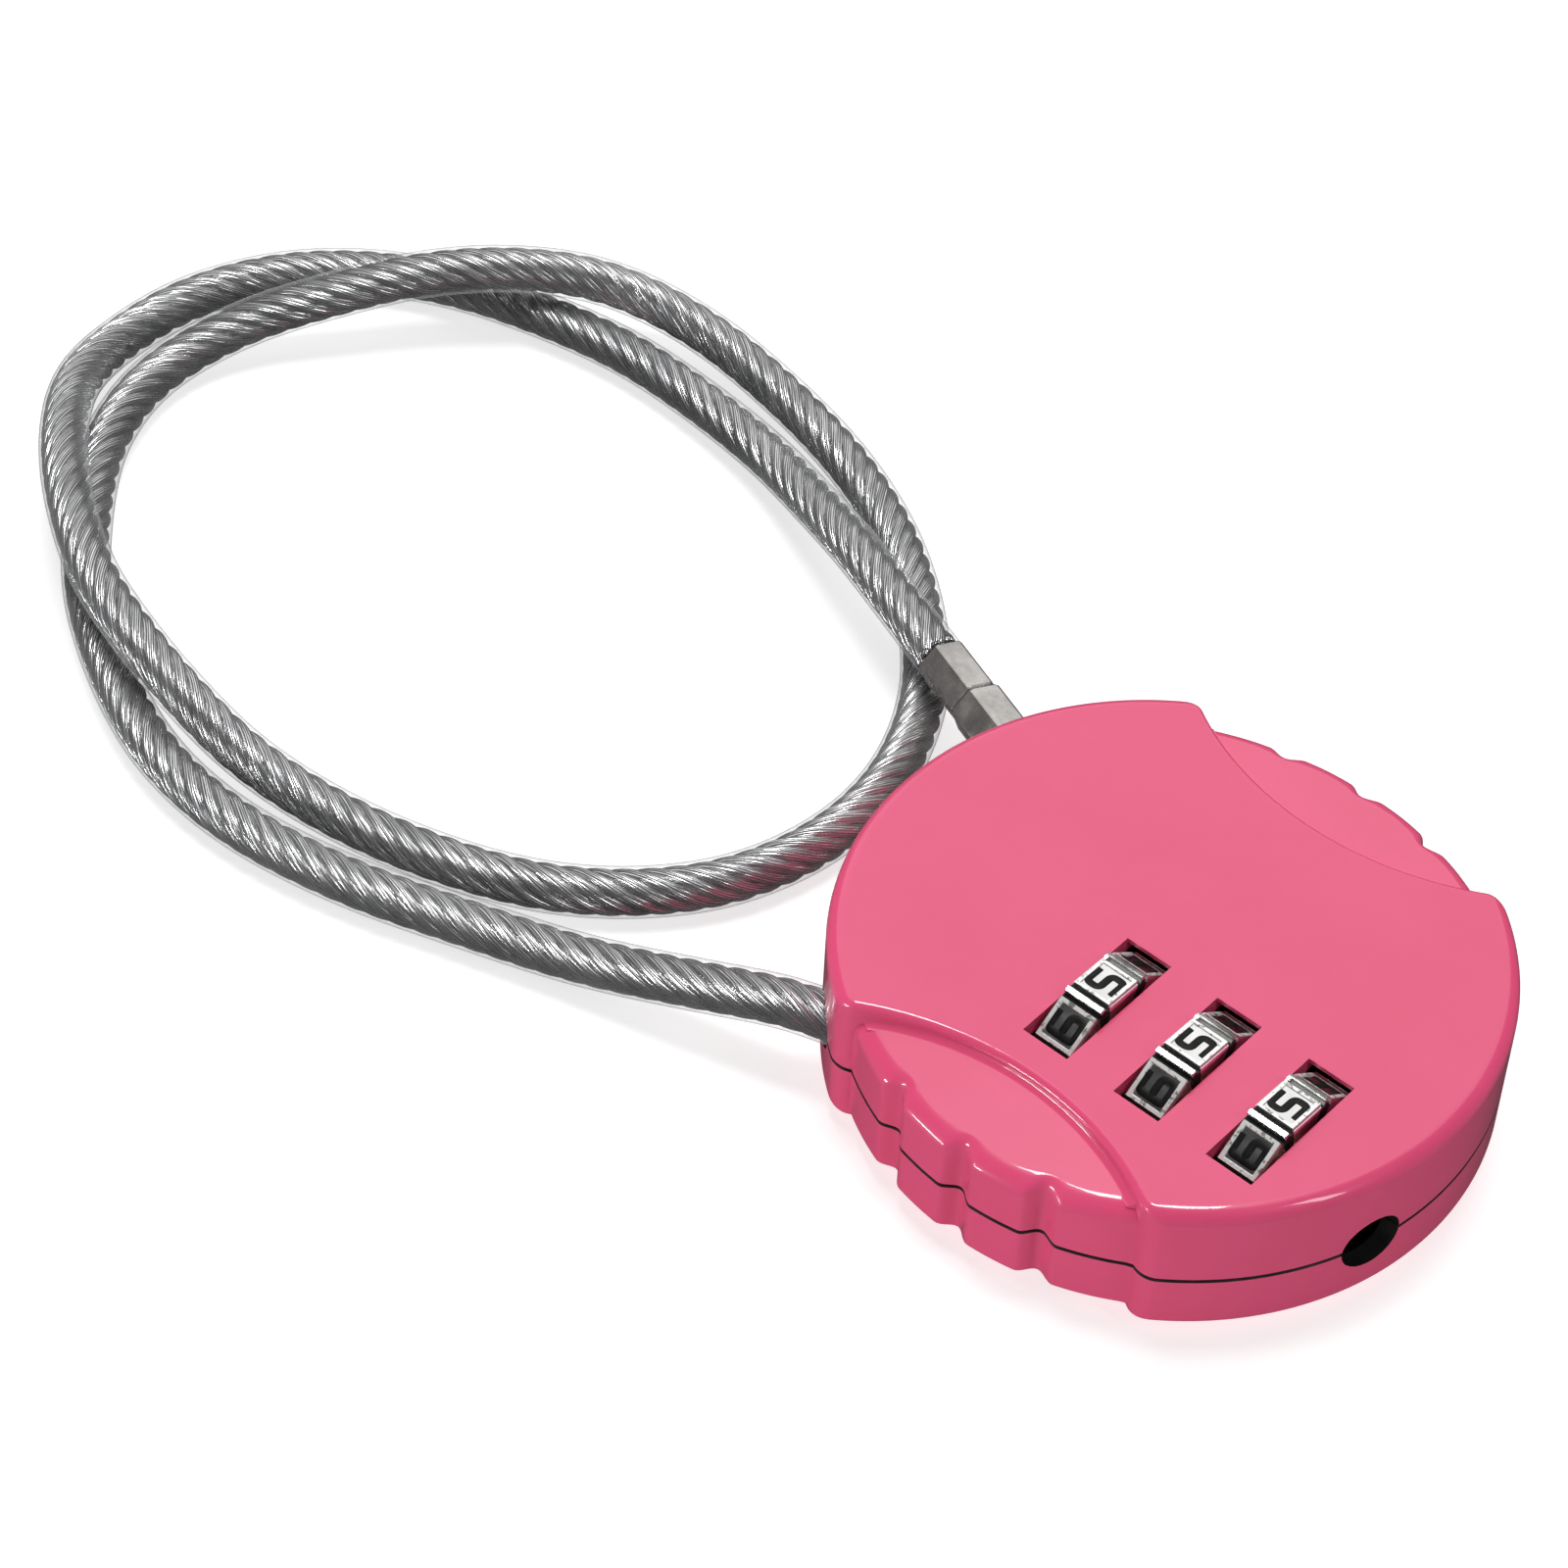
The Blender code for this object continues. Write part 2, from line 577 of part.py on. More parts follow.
def build_detent_springs(workshop):
    """A bent leaf beside each wheel: foot on the lower shell, nose level with the axis."""
    path = [(3.2, 1.75), (1.9, 1.75), (1.3, 2.4), (0.75, 4.4), (0.5, 6.25), (0.75, 8.1), (1.2, 9.6)]
    half_width = 1.3
    for i, x in enumerate(WHEEL_X):
        bm = bmesh.new()
        rows = [[bm.verts.new((side, y, z)) for side in (-half_width, half_width)]
                for y, z in path]
        for low, high in zip(rows, rows[1:]):
            bm.faces.new((low[0], low[1], high[1], high[0]))
        leaf = workshop.add(f"detent_spring_{i + 1}", bm, workshop.steel, (x, 0, 0))
        thicken = leaf.modifiers.new("thickness", "SOLIDIFY")
        thicken.thickness = 0.22 * MM
        thicken.offset = 0.0


def build_locking_pin(workshop):
    """The pin, its socket sleeve and the crimp, all turned about the pin's slanted axis."""
    place = (*PIN_ENTRY, PARTING_Z)
    lie_down = (0, math.pi / 2, math.radians(PIN_ANGLE))
    groove = PIN_GROOVE_AT
    pin = [(0, 12.6), (0.7, 12.6), (PIN_RADIUS, 11.2), (PIN_RADIUS, groove + 1.3),
           (PIN_GROOVE_RADIUS, groove + 0.9), (PIN_GROOVE_RADIUS, groove - 0.9),
           (PIN_RADIUS, groove - 1.3), (PIN_RADIUS, 1.0), (PIN_HEAD_RADIUS, 0.8),
           (PIN_HEAD_RADIUS, -7.9), (PIN_HEAD_RADIUS - 0.2, -8.1), (0, -8.1)]
    turned(workshop, "locking_pin", pin, workshop.nickel, place, lie_down, steps=36)
    crimp = [(0, -8.2), (CRIMP_RADIUS - 0.1, -8.2), (CRIMP_RADIUS, -8.3),
             (CRIMP_RADIUS, -13.4), (CRIMP_RADIUS - 0.1, -13.5), (0, -13.5)]
    turned(workshop, "cable_crimp", crimp, workshop.nickel, place, lie_down, steps=36)
    sleeve = [(2.0, 7.0), (2.75, 7.0), (2.75, 2.6), (2.0, 2.6), (2.0, 7.0)]
    turned(workshop, "pin_socket_sleeve", sleeve, workshop.brass, place, lie_down, steps=28)


def along_pin(far, aside):
    """An offset counted along the pin's heading and square to it, towards the far rim."""
    heading = Vector((*polar(1.0, PIN_ANGLE), 0.0))
    square = Vector((*polar(1.0, PIN_ANGLE + 90), 0.0))
    return heading * far + square * aside


def build_latch_lever(workshop):
    """A bell crank: its nose stands at the pin's groove, its tail at the spindle's end."""
    pivot = Vector((*PIN_ENTRY, 0.0)) + along_pin(PIN_GROOVE_AT + PIVOT_BEYOND, -PIVOT_ASIDE)
    tail_x = LEVER_TAIL_X - pivot.x
    tail_y = WHEEL_Y - pivot.y
    nose = [(-1.9, 0.6), (-4.2, 0.2), (-4.75, 1.3), (-5.65, 1.3), (-6.0, 0.3), (-5.7, -0.9)]
    outline = [polar(LEVER_HUB, a) for a in range(-30, 136, 15)]
    outline += [tuple(along_pin(far, aside)[:2]) for far, aside in nose]
    outline += [polar(LEVER_HUB, a) for a in range(210, 231, 10)]
    outline += [(tail_x + x, tail_y + y)
                for x, y in (polar(LEVER_TAIL_RADIUS, a) for a in range(180, 361, 20))]
    bm = bmesh.new()
    face = bm.faces.new([bm.verts.new((x, y, -LEVER_THICKNESS / 2)) for x, y in outline])
    lifted = bmesh.ops.extrude_face_region(bm, geom=[face])
    risen = [item for item in lifted["geom"] if isinstance(item, bmesh.types.BMVert)]
    bmesh.ops.translate(bm, vec=(0, 0, LEVER_THICKNESS), verts=risen)
    place = (pivot.x, pivot.y, PARTING_Z)
    lever = workshop.add("latch_lever", bm, workshop.steel, place)
    workshop.cut(lever, "lever_hole", cylinder(PIVOT_RADIUS + 0.08, -2.0, 2.0, sides=24), place)
    post = cylinder(PIVOT_RADIUS, WALL + FACE_GAP, BODY_TOP - WALL - FACE_GAP, sides=24)
    workshop.add("lever_pivot", post, workshop.steel, (pivot.x, pivot.y, 0))


def cable_points():
    """Evenly spaced points on one smooth curve from the crimp, round both turns, into the body."""
    heading = Vector((*polar(1.0, PIN_ANGLE), 0.0))
    entry = Vector((*PIN_ENTRY, PARTING_Z))
    start = [entry - heading * (13.5 + FACE_GAP), entry - heading * 16.5]
    inward = Vector((*polar(1.0, CABLE_ANGLE), 0.0))
    fixed = Vector((*CABLE_ENTRY, PARTING_Z))
    finish = [fixed - inward * 1.0, fixed + inward * (ANCHOR_START - FACE_GAP)]
    route = start + [Vector(point) for point in CABLE_ROUTE] + finish
    padded = [route[0] * 2 - route[1]] + route + [route[-1] * 2 - route[-2]]
    fine = []
    for a, b, c, d in zip(padded, padded[1:], padded[2:], padded[3:]):
        for i in range(16):
            t = i / 16
            fine.append(0.5 * (2 * b + (c - a) * t + (2 * a - 5 * b + 4 * c - d) * t ** 2
                               + (3 * b - a - 3 * c + d) * t ** 3))
    fine.append(route[-1])
    run = [0.0]
    for a, b in zip(fine, fine[1:]):
        run.append(run[-1] + (b - a).length)
    count = round(run[-1] / CABLE_STEP)
    points = []
    k = 0
    for i in range(count + 1):
        target = run[-1] * i / count
        while k < len(run) - 2 and run[k + 1] < target:
            k += 1
        share = (target - run[k]) / (run[k + 1] - run[k])
        points.append(fine[k].lerp(fine[k + 1], share))
    return points


def build_cable(workshop):
    tube(workshop, "steel_cable", cable_points(), CABLE_RADIUS, workshop.jacket, resolution=3)
    place = (*CABLE_ENTRY, PARTING_Z)
    start = ANCHOR_START
    anchor = [(0, start + ANCHOR_LENGTH), (ANCHOR_RADIUS - 0.2, start + ANCHOR_LENGTH),
              (ANCHOR_RADIUS, start + ANCHOR_LENGTH - 0.2), (ANCHOR_RADIUS, start + 0.2),
              (ANCHOR_RADIUS - 0.2, start), (0, start)]
    turned(workshop, "cable_anchor", anchor, workshop.steel, place,
           (0, math.pi / 2, math.radians(CABLE_ANGLE)), steps=28)


def main():
    remove_everything()
    workshop = Workshop()
    build_upper_shell(workshop)
    build_lower_shell(workshop)
    build_screws(workshop)
    build_number_wheels(workshop)
    build_code_sleeves(workshop)
    build_spindle(workshop)
    build_springs(workshop)
    build_reset_button(workshop)
    build_detent_springs(workshop)
    build_locking_pin(workshop)
    build_latch_lever(workshop)
    build_cable(workshop)


main()
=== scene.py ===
"""Looks of a three-dial cable lock: glossy enamelled shells, polished number wheels, and a
steel rope in a clear jacket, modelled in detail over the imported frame.  Shapes are written in
millimetres in the body's own frame (origin at the centre of the body's underside) and are
placed by the frame's boxes."""

import json
import math

import bmesh
import bpy
import numpy as np
from mathutils import Matrix, Vector


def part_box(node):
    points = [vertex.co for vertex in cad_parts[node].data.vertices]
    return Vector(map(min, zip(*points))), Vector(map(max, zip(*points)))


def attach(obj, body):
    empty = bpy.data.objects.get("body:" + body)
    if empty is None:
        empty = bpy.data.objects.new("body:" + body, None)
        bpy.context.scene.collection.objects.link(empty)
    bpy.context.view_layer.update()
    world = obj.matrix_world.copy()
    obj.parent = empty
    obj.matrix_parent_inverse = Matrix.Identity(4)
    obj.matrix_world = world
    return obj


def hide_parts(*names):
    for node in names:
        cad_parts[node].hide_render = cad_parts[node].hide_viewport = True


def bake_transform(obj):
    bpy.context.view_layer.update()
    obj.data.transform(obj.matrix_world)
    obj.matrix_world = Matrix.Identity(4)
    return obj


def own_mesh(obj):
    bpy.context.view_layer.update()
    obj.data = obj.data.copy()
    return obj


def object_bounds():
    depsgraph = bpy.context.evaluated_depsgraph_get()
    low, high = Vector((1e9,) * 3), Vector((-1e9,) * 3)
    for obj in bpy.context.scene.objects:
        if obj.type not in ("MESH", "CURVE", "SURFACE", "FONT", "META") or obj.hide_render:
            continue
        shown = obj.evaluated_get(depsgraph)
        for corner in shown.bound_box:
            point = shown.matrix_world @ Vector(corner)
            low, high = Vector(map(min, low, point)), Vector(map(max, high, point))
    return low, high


MM = 0.001

# Camera
CAMERA_AZIMUTH = 39.578
CAMERA_ELEVATION = 46.77
CAMERA_ROLL = 2.886
CAMERA_DISTANCE = 0.37196
CAMERA_LENS = 110.53
CAMERA_TARGET = (-38.09, 1.26, 0.0)

# Stage: each light's name, place, size and power
LIGHT_AIM = (-0.03, 0.0, 0.0)
LIGHTS = (
    ("back_box", (-0.35, 0.42, 0.52), (1.0, 0.8), 2.5),
    ("top_box", (-0.1, 0.08, 0.8), (0.3, 0.2), 4.4),
    ("right_strip", (0.5, 0.0, 0.45), (0.08, 0.3), 0.6),
    ("front_strip", (-0.3, -0.6, 0.05), (0.28, 0.03), 1.5),
)
FLOOR_SIZE = 12.0
FLOOR_GLOW = 0.74
WORLD_GLOW = 0.05

# Shells
BITE_RADIUS = 25.6
BITE_CENTRE = 42.0
BITE_SHIFT = (0.4, -0.25)
BITE_FILLET_SHARE = 0.5
CORNER_RADIUS = 1.9
PARTING_GAP = 0.12
TOP_FILLET = 1.2
BOTTOM_FILLET = 0.9
WALL = 1.4
CRESCENT_RADIUS = 23.9
CRESCENT_HIDDEN_RADIUS = 24.6
CRESCENT_ROOT_RADIUS = 20.0
CRESCENT_HALF_ANGLE = 42.0
CRESCENT_TOP = 11.3
CRESCENT_TOP_AT = 17.0
CRESCENT_SLOPE = 0.175
CRESCENT_BOTTOM = 0.5
CRESCENT_FILLET = 1.2
CRESCENT_FACE_RADIUS = 22.5
CRESCENT_FACE_WAVE = 0.3
CRESCENT_FACE_HALF_ANGLE = 8.0
CRESCENT_BOTTOM_FILLET = 0.5
PARTING_CHAMFER = 0.12
FLUTE_DEPTH = 0.85
FLUTE_HALF_ANGLE = 3.7
FLUTE_SPACING = 16.5
STEP_START_ANGLE = 31.5
STEP_END_ANGLE = 38.5
COVE_RADIUS = 0.6
COVE_DEPTH = 0.01
COVE_HALF_ANGLE = 36.0
FILLET_STEPS = 10
WINDOW_WIDTH = 4.0
WINDOW_LENGTH = 11.8
WINDOW_Y = -7.85
WINDOW_CUT = 6.0

# Number wheels
WHEEL_ROOM = 0.3
DIGITS = 10
DIGIT_STEP = 360 / DIGITS
PANEL_FLAT = math.cos(math.radians(8))
PANEL_HALF_ANGLE = 12.6
GROOVE_START_ANGLE = 13.1
RIDGE_PHASE = 15.35
RIDGE_RADIUS = 7.6
PANEL_RADIUS = 7.32
GROOVE_RADIUS = 7.02
WHEEL_BORE = 4.5
WHEEL_WIDTH = 3.42
BORDER_WIDTH = 0.3
PANEL_SINK = 0.09
FIRST_DIGIT = 5
DIGIT_HALF_HEIGHT = 1.12
DIGIT_HALF_WIDTH = 0.8
DIGIT_STROKE = 0.31
DIGIT_CORNER = 0.45
DIGIT_STROKES = (
    (((-1, -1), (-1, 1), (1, 1), (1, -1), (-1, -1), (-1, 0)),),
    (((-0.6, 0.6), (0, 1), (0, -1)),),
    (((-1, 1), (1, 1), (1, 0), (-1, 0), (-1, -1), (1, -1)),),
    (((-1, 1), (1, 1), (1, -1), (-1, -1)), ((-0.4, 0), (1, 0))),
    (((-1, 1), (-1, 0), (1, 0)), ((1, 1), (1, -1))),
    (((1, 1), (-1, 1), (-1, 0), (1, 0), (1, -1), (-1, -1)),),
    (((1, 1), (-1, 1), (-1, -1), (1, -1), (1, 0), (-1, 0)),),
    (((-1, 1), (1, 1), (0, -1)),),
    (((-1, -1), (-1, 1), (1, 1), (1, -1), (-1, -1), (-1, 0)), ((-1, 0), (1, 0))),
    (((-1, -1), (1, -1), (1, 1), (-1, 1), (-1, 0), (1, 0)),),
)

# Pin, crimp and holes
PIN_ENTRY = (-22.2, 11.25)
PIN_ANGLE = -20.1
PIN_HEAD_RADIUS = 2.35
CRIMP_RADIUS = 2.12
CRIMP_FLATS = (6, 0.9, 78.0, 1.4)
SOCKET_RADIUS = 2.65
CABLE_HOLE_RADIUS = 2.25
RESET_Y = -6.9
RESET_HOLE_RADIUS = 2.4
SCREW_PLACES = ((3.0, 12.5), (17.5, 7.5), (-16.5, -7.0), (6.5, -19.2))
SCREW_ROOM = 1.8
SCREW_DEPTH = 1.3

# Steel cable: the route is the one that the frame's tube follows
CABLE_RADIUS = 2.0
CABLE_ENTRY = (-17.9, -17.75)
CABLE_ANGLE = 18.0
CABLE_STEP = 0.5
FACE_GAP = 0.3
ANCHOR_START = 5.6
STRANDS = 7
STRAND_RADIUS = 0.6
STRAND_HELIX = 1.2
STRAND_PITCH = 14.0
CORE_RADIUS = STRAND_HELIX * 0.75
WIRES_PER_STRAND = 18
STRAND_SIDES = 18
JACKET_SIDES = 40
CABLE_ROUTE = [
    (-40.7, 18.0, 5.2), (-48.0, 21.0, 4.6), (-55.5, 24.2, 2.9), (-63.0, 27.0, 1.4),
    (-71.5, 28.4, 0.9), (-80.0, 28.6, 0.9), (-88.0, 27.3, 0.9), (-96.0, 24.9, 0.9),
    (-103.0, 20.9, 0.9), (-108.3, 15.2, 0.9), (-111.4, 8.0, 0.9), (-111.6, 0.5, 1.2),
    (-108.9, -6.9, 2.9), (-103.3, -13.4, 4.8), (-96.9, -18.6, 5.4), (-89.6, -22.9, 5.4),
    (-82.3, -25.3, 5.1), (-75.5, -26.4, 3.9), (-68.5, -26.5, 2.1), (-60.5, -25.4, 1.0),
    (-52.0, -23.4, 0.9), (-44.3, -20.2, 0.9), (-38.1, -15.4, 0.9), (-33.5, -9.0, 0.9),
    (-31.4, -1.0, 0.9), (-32.1, 7.0, 0.9), (-35.6, 14.8, 0.9), (-41.1, 21.2, 0.9),
    (-48.5, 26.9, 0.9), (-57.5, 31.2, 0.9), (-67.5, 33.7, 1.1), (-76.8, 34.0, 2.3),
    (-84.6, 31.3, 4.2), (-90.6, 26.2, 5.4), (-95.8, 20.6, 5.2), (-100.2, 14.8, 4.0),
    (-104.4, 8.8, 2.3), (-106.4, 2.8, 1.1), (-105.9, -3.2, 0.9), (-103.1, -9.6, 0.9),
    (-98.2, -15.7, 0.9), (-91.8, -21.8, 0.9), (-83.5, -26.8, 0.9), (-74.5, -30.3, 0.9),
    (-65.0, -31.2, 0.9), (-55.0, -29.6, 0.9), (-45.5, -26.5, 0.9), (-36.5, -23.6, 1.4),
    (-28.0, -21.0, 3.3), (-22.0, -19.1, 4.8),
]

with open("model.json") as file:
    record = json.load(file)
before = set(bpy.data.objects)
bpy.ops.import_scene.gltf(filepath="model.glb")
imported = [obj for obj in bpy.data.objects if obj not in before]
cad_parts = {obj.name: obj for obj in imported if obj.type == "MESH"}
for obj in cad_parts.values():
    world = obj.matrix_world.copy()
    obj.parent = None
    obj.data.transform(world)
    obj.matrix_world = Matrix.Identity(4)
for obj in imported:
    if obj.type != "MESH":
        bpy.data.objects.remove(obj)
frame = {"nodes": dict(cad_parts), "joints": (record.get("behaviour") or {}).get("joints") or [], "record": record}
cad_box = [[float(v) for v in corner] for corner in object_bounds()]

# Sizes taken from the frame
BODY_LOW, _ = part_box("lower_shell")
_, BODY_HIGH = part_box("upper_shell")
BODY_Z = BODY_LOW[2]
BODY_RADIUS = (BODY_HIGH[0] - BODY_LOW[0]) / 2 / MM
BODY_TOP = (BODY_HIGH[2] - BODY_Z) / MM
PARTING_Z = (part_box("upper_shell")[0][2] - BODY_Z) / MM - PARTING_GAP / 2
WHEEL_CENTRES = [
    tuple((Vector(joint["pos_m"]) - Vector((0, 0, BODY_Z))) / MM)
    for joint in frame["joints"] if joint["name"].startswith("number_wheel")]


def polar(radius, degrees):
    """A point at this angle, counted anticlockwise from +X."""
    angle = math.radians(degrees)
    return (radius * math.cos(angle), radius * math.sin(angle))


def smoothstep(value):
    value = min(max(value, 0.0), 1.0)
    return value * value * (3 - 2 * value)


def finish_mesh(name, bm, angle=35.0):
    """Turn a bmesh in the body's millimetres into a shaded object in the frame's metres."""
    bmesh.ops.recalc_face_normals(bm, faces=bm.faces)
    bmesh.ops.scale(bm, vec=(MM, MM, MM), verts=bm.verts)
    bmesh.ops.translate(bm, vec=(0, 0, BODY_Z), verts=bm.verts)
    mesh = bpy.data.meshes.new(name)
    bm.to_mesh(mesh)
    bm.free()
    mesh.shade_smooth()
    mesh.set_sharp_from_angle(angle=math.radians(angle))
    piece = bpy.data.objects.new(name, mesh)
    bpy.context.scene.collection.objects.link(piece)
    return piece


def paint(piece, material):
    piece.data.materials.clear()
    piece.data.materials.append(material)


def loft(rings, closed=False):
    """Skin equal-length rings of points; an open loft gets a flat cap at each end."""
    bm = bmesh.new()
    rows = [[bm.verts.new(point) for point in ring] for ring in rings]
    pairs = list(zip(rows, rows[1:]))
    if closed:
        pairs.append((rows[-1], rows[0]))
    for low, high in pairs:
        for i in range(len(low)):
            j = (i + 1) % len(low)
            bm.faces.new((low[i], low[j], high[j], high[i]))
    if not closed:
        bm.faces.new(rows[0])
        bm.faces.new(rows[-1])
    return bm


def turned(profile, place, direction, sides=96, closed=True, flats=None):
    """A solid turned about a level axis: its profile lists (distance along, radius) points.
    Flats (how many, share of the radius, angle of the first, least radius) are pressed into
    all of it that is thicker than that least radius."""
    along = Vector((*polar(1.0, direction), 0.0))
    aside = Vector((*polar(1.0, direction + 90), 0.0))
    rings = []
    for far, radius in profile:
        centre = Vector(place) + along * far
        ring = []
        for i in range(sides):
            angle = 360 * i / sides
            reach = radius
            if flats and radius > flats[3]:
                count, share, first, _ = flats
                off = (angle - first + 180 / count) % (360 / count) - 180 / count
                reach = min(radius, radius * share / math.cos(math.radians(off)))
            level, rise = polar(reach, angle)
            ring.append(centre + aside * level + Vector((0, 0, rise)))
        rings.append(ring)
    return loft(rings, closed)


# ---------------------------------------------------------------- materials

class Shader:
    """A short way to build one procedural material."""

    def __init__(self, name):
        self.material = bpy.data.materials.new(name)
        self.material.use_nodes = True
        self.tree = self.material.node_tree
        self.surface = self.tree.nodes["Principled BSDF"]
        self.place = self.tree.nodes.new("ShaderNodeTexCoord").outputs["Object"]

    def set(self, **values):
        for key, value in values.items():
            socket = self.surface.inputs[key.replace("_", " ")]
            socket.default_value = (*value, 1.0) if isinstance(value, tuple) else value

    def node(self, kind, links=(), **settings):
        node = self.tree.nodes.new(kind)
        for key, value in settings.items():
            setattr(node, key, value)
        for socket, value in links:
            if isinstance(value, bpy.types.NodeSocket):
                self.tree.links.new(value, node.inputs[socket])
            else:
                node.inputs[socket].default_value = value
        return node

    def math(self, operation, first, second):
        return self.node("ShaderNodeMath", [(0, first), (1, second)],
                         operation=operation).outputs[0]

    def noise(self, scale, detail=4.0, roughness=0.6, vector=None):
        return self.node("ShaderNodeTexNoise", [
            ("Vector", vector or self.place), ("Scale", scale), ("Detail", detail),
            ("Roughness", roughness)]).outputs["Fac"]

    def spread(self, value, low, high, out_low, out_high):
        """Map a value's range onto another one."""
        return self.node("ShaderNodeMapRange", [
            ("Value", value), ("From Min", low), ("From Max", high),
            ("To Min", out_low), ("To Max", out_high)]).outputs["Result"]

    def blend(self, factor, first, second):
        mix = self.node("ShaderNodeMix", data_type="RGBA")
        for index, value in ((0, factor), (6, first), (7, second)):
            if isinstance(value, bpy.types.NodeSocket):
                self.tree.links.new(value, mix.inputs[index])
            else:
                mix.inputs[index].default_value = (*value, 1.0) if index else value
        return mix.outputs[2]

    def bump(self, height, strength, distance):
        links = [("Height", height), ("Strength", strength), ("Distance", distance)]
        return self.node("ShaderNodeBump", links).outputs["Normal"]

    def link(self, value, socket):
        self.tree.links.new(value, self.surface.inputs[socket])


def make_enamel():
    """Pink enamel under a clear gloss, with a faint orange peel and flow marks."""
    shader = Shader("pink_enamel")
    shader.set(Roughness=0.3, Metallic=0.0, Coat_Weight=0.9, Coat_Roughness=0.035, Coat_IOR=1.5,
               Specular_IOR_Level=0.25)
    cloud = shader.noise(90.0)
    tone = shader.blend(shader.spread(cloud, 0.3, 0.7, 0.0, 1.0),
                        (0.765, 0.076, 0.188), (0.795, 0.086, 0.208))
    shader.link(tone, "Base Color")
    peel = shader.noise(900.0, detail=2.0)
    shader.link(shader.bump(peel, 0.05, 0.00004), "Normal")
    return shader.material


def make_nickel():
    """Bright nickel with fine random scratches and soft smudges."""
    shader = Shader("dial_nickel")
    shader.set(Metallic=1.0, Roughness=0.16)
    smudge = shader.noise(500.0)
    shader.link(shader.spread(smudge, 0.3, 0.7, 0.12, 0.26), "Roughness")
    tone = shader.blend(shader.spread(smudge, 0.35, 0.65, 0.0, 1.0),
                        (0.78, 0.775, 0.76), (0.86, 0.86, 0.85))
    shader.link(tone, "Base Color")
    stretched = shader.node("ShaderNodeMapping", [
        ("Vector", shader.place), ("Scale", (9000.0, 900.0, 900.0))]).outputs["Vector"]
    lines = shader.noise(1.0, detail=2.0, vector=stretched)
    shader.link(shader.bump(lines, 0.12, 0.00002), "Normal")
    return shader.material


def make_worn_nickel():
    """The wheels' raised edges, rubbed dull and bright, with tiny dark nicks."""
    shader = Shader("worn_nickel")
    shader.set(Metallic=0.55, Roughness=0.4)
    wear = shader.noise(2200.0, detail=3.0)
    tone = shader.blend(shader.spread(wear, 0.36, 0.46, 0.0, 1.0),
                        (0.25, 0.25, 0.24), (0.88, 0.88, 0.87))
    shader.link(tone, "Base Color")
    shader.link(shader.bump(wear, 0.2, 0.00003), "Normal")
    return shader.material


def make_pin_nickel():
    """Black-nickel plate on the crimp and pin, drawn and scuffed along their length."""
    shader = Shader("pin_nickel")
    shader.set(Metallic=0.8, Roughness=0.2)
    smudge = shader.noise(420.0)
    shader.link(shader.spread(smudge, 0.3, 0.7, 0.16, 0.34), "Roughness")
    tone = shader.blend(shader.spread(smudge, 0.35, 0.65, 0.0, 1.0),
                        (0.40, 0.385, 0.37), (0.66, 0.64, 0.61))
    shader.link(tone, "Base Color")
    pits = shader.noise(2600.0, detail=3.0)
    shader.link(shader.bump(pits, 0.3, 0.00004), "Normal")
    return shader.material


def make_steel():
    shader = Shader("plain_steel")
    shader.set(Metallic=1.0)
    grain = shader.noise(1200.0)
    shader.link(shader.spread(grain, 0.3, 0.7, 0.28, 0.5), "Roughness")
    tone = shader.blend(shader.spread(grain, 0.3, 0.7, 0.0, 1.0),
                        (0.46, 0.46, 0.48), (0.6, 0.6, 0.61))
    shader.link(tone, "Base Color")
    shader.link(shader.bump(grain, 0.2, 0.00003), "Normal")
    return shader.material


def make_brass():
    shader = Shader("brass")
    shader.set(Metallic=1.0)
    grain = shader.noise(900.0)
    shader.link(shader.spread(grain, 0.3, 0.7, 0.25, 0.45), "Roughness")
    tone = shader.blend(shader.spread(grain, 0.3, 0.7, 0.0, 1.0),
                        (0.68, 0.50, 0.24), (0.8, 0.62, 0.32))
    shader.link(tone, "Base Color")
    return shader.material


def make_painted_shade():
    """Painted shade: a dull near-black for the shells' hollow inside, their holes and their parting faces, which
    lie in shadow.
    """
    shader = Shader("inside_painted_shade")
    grain = shader.noise(700.0)
    tone = shader.blend(shader.spread(grain, 0.3, 0.7, 0.0, 1.0),
                        (0.015, 0.013, 0.014), (0.04, 0.036, 0.038))
    shader.link(tone, "Base Color")
    shader.set(Roughness=0.6, Metallic=0.3)
    return shader.material


def make_ink_and_groove_shade():
    """Black filling of the digits, also laid in the grooves beside the wheels' ridges as painted shade."""
    shader = Shader("digit_ink_and_groove_shade")
    shader.set(Roughness=0.5, Specular_IOR_Level=0.15)
    grain = shader.noise(1500.0)
    tone = shader.blend(shader.spread(grain, 0.3, 0.7, 0.0, 1.0),
                        (0.004, 0.004, 0.004), (0.012, 0.012, 0.012))
    shader.link(tone, "Base Color")
    return shader.material


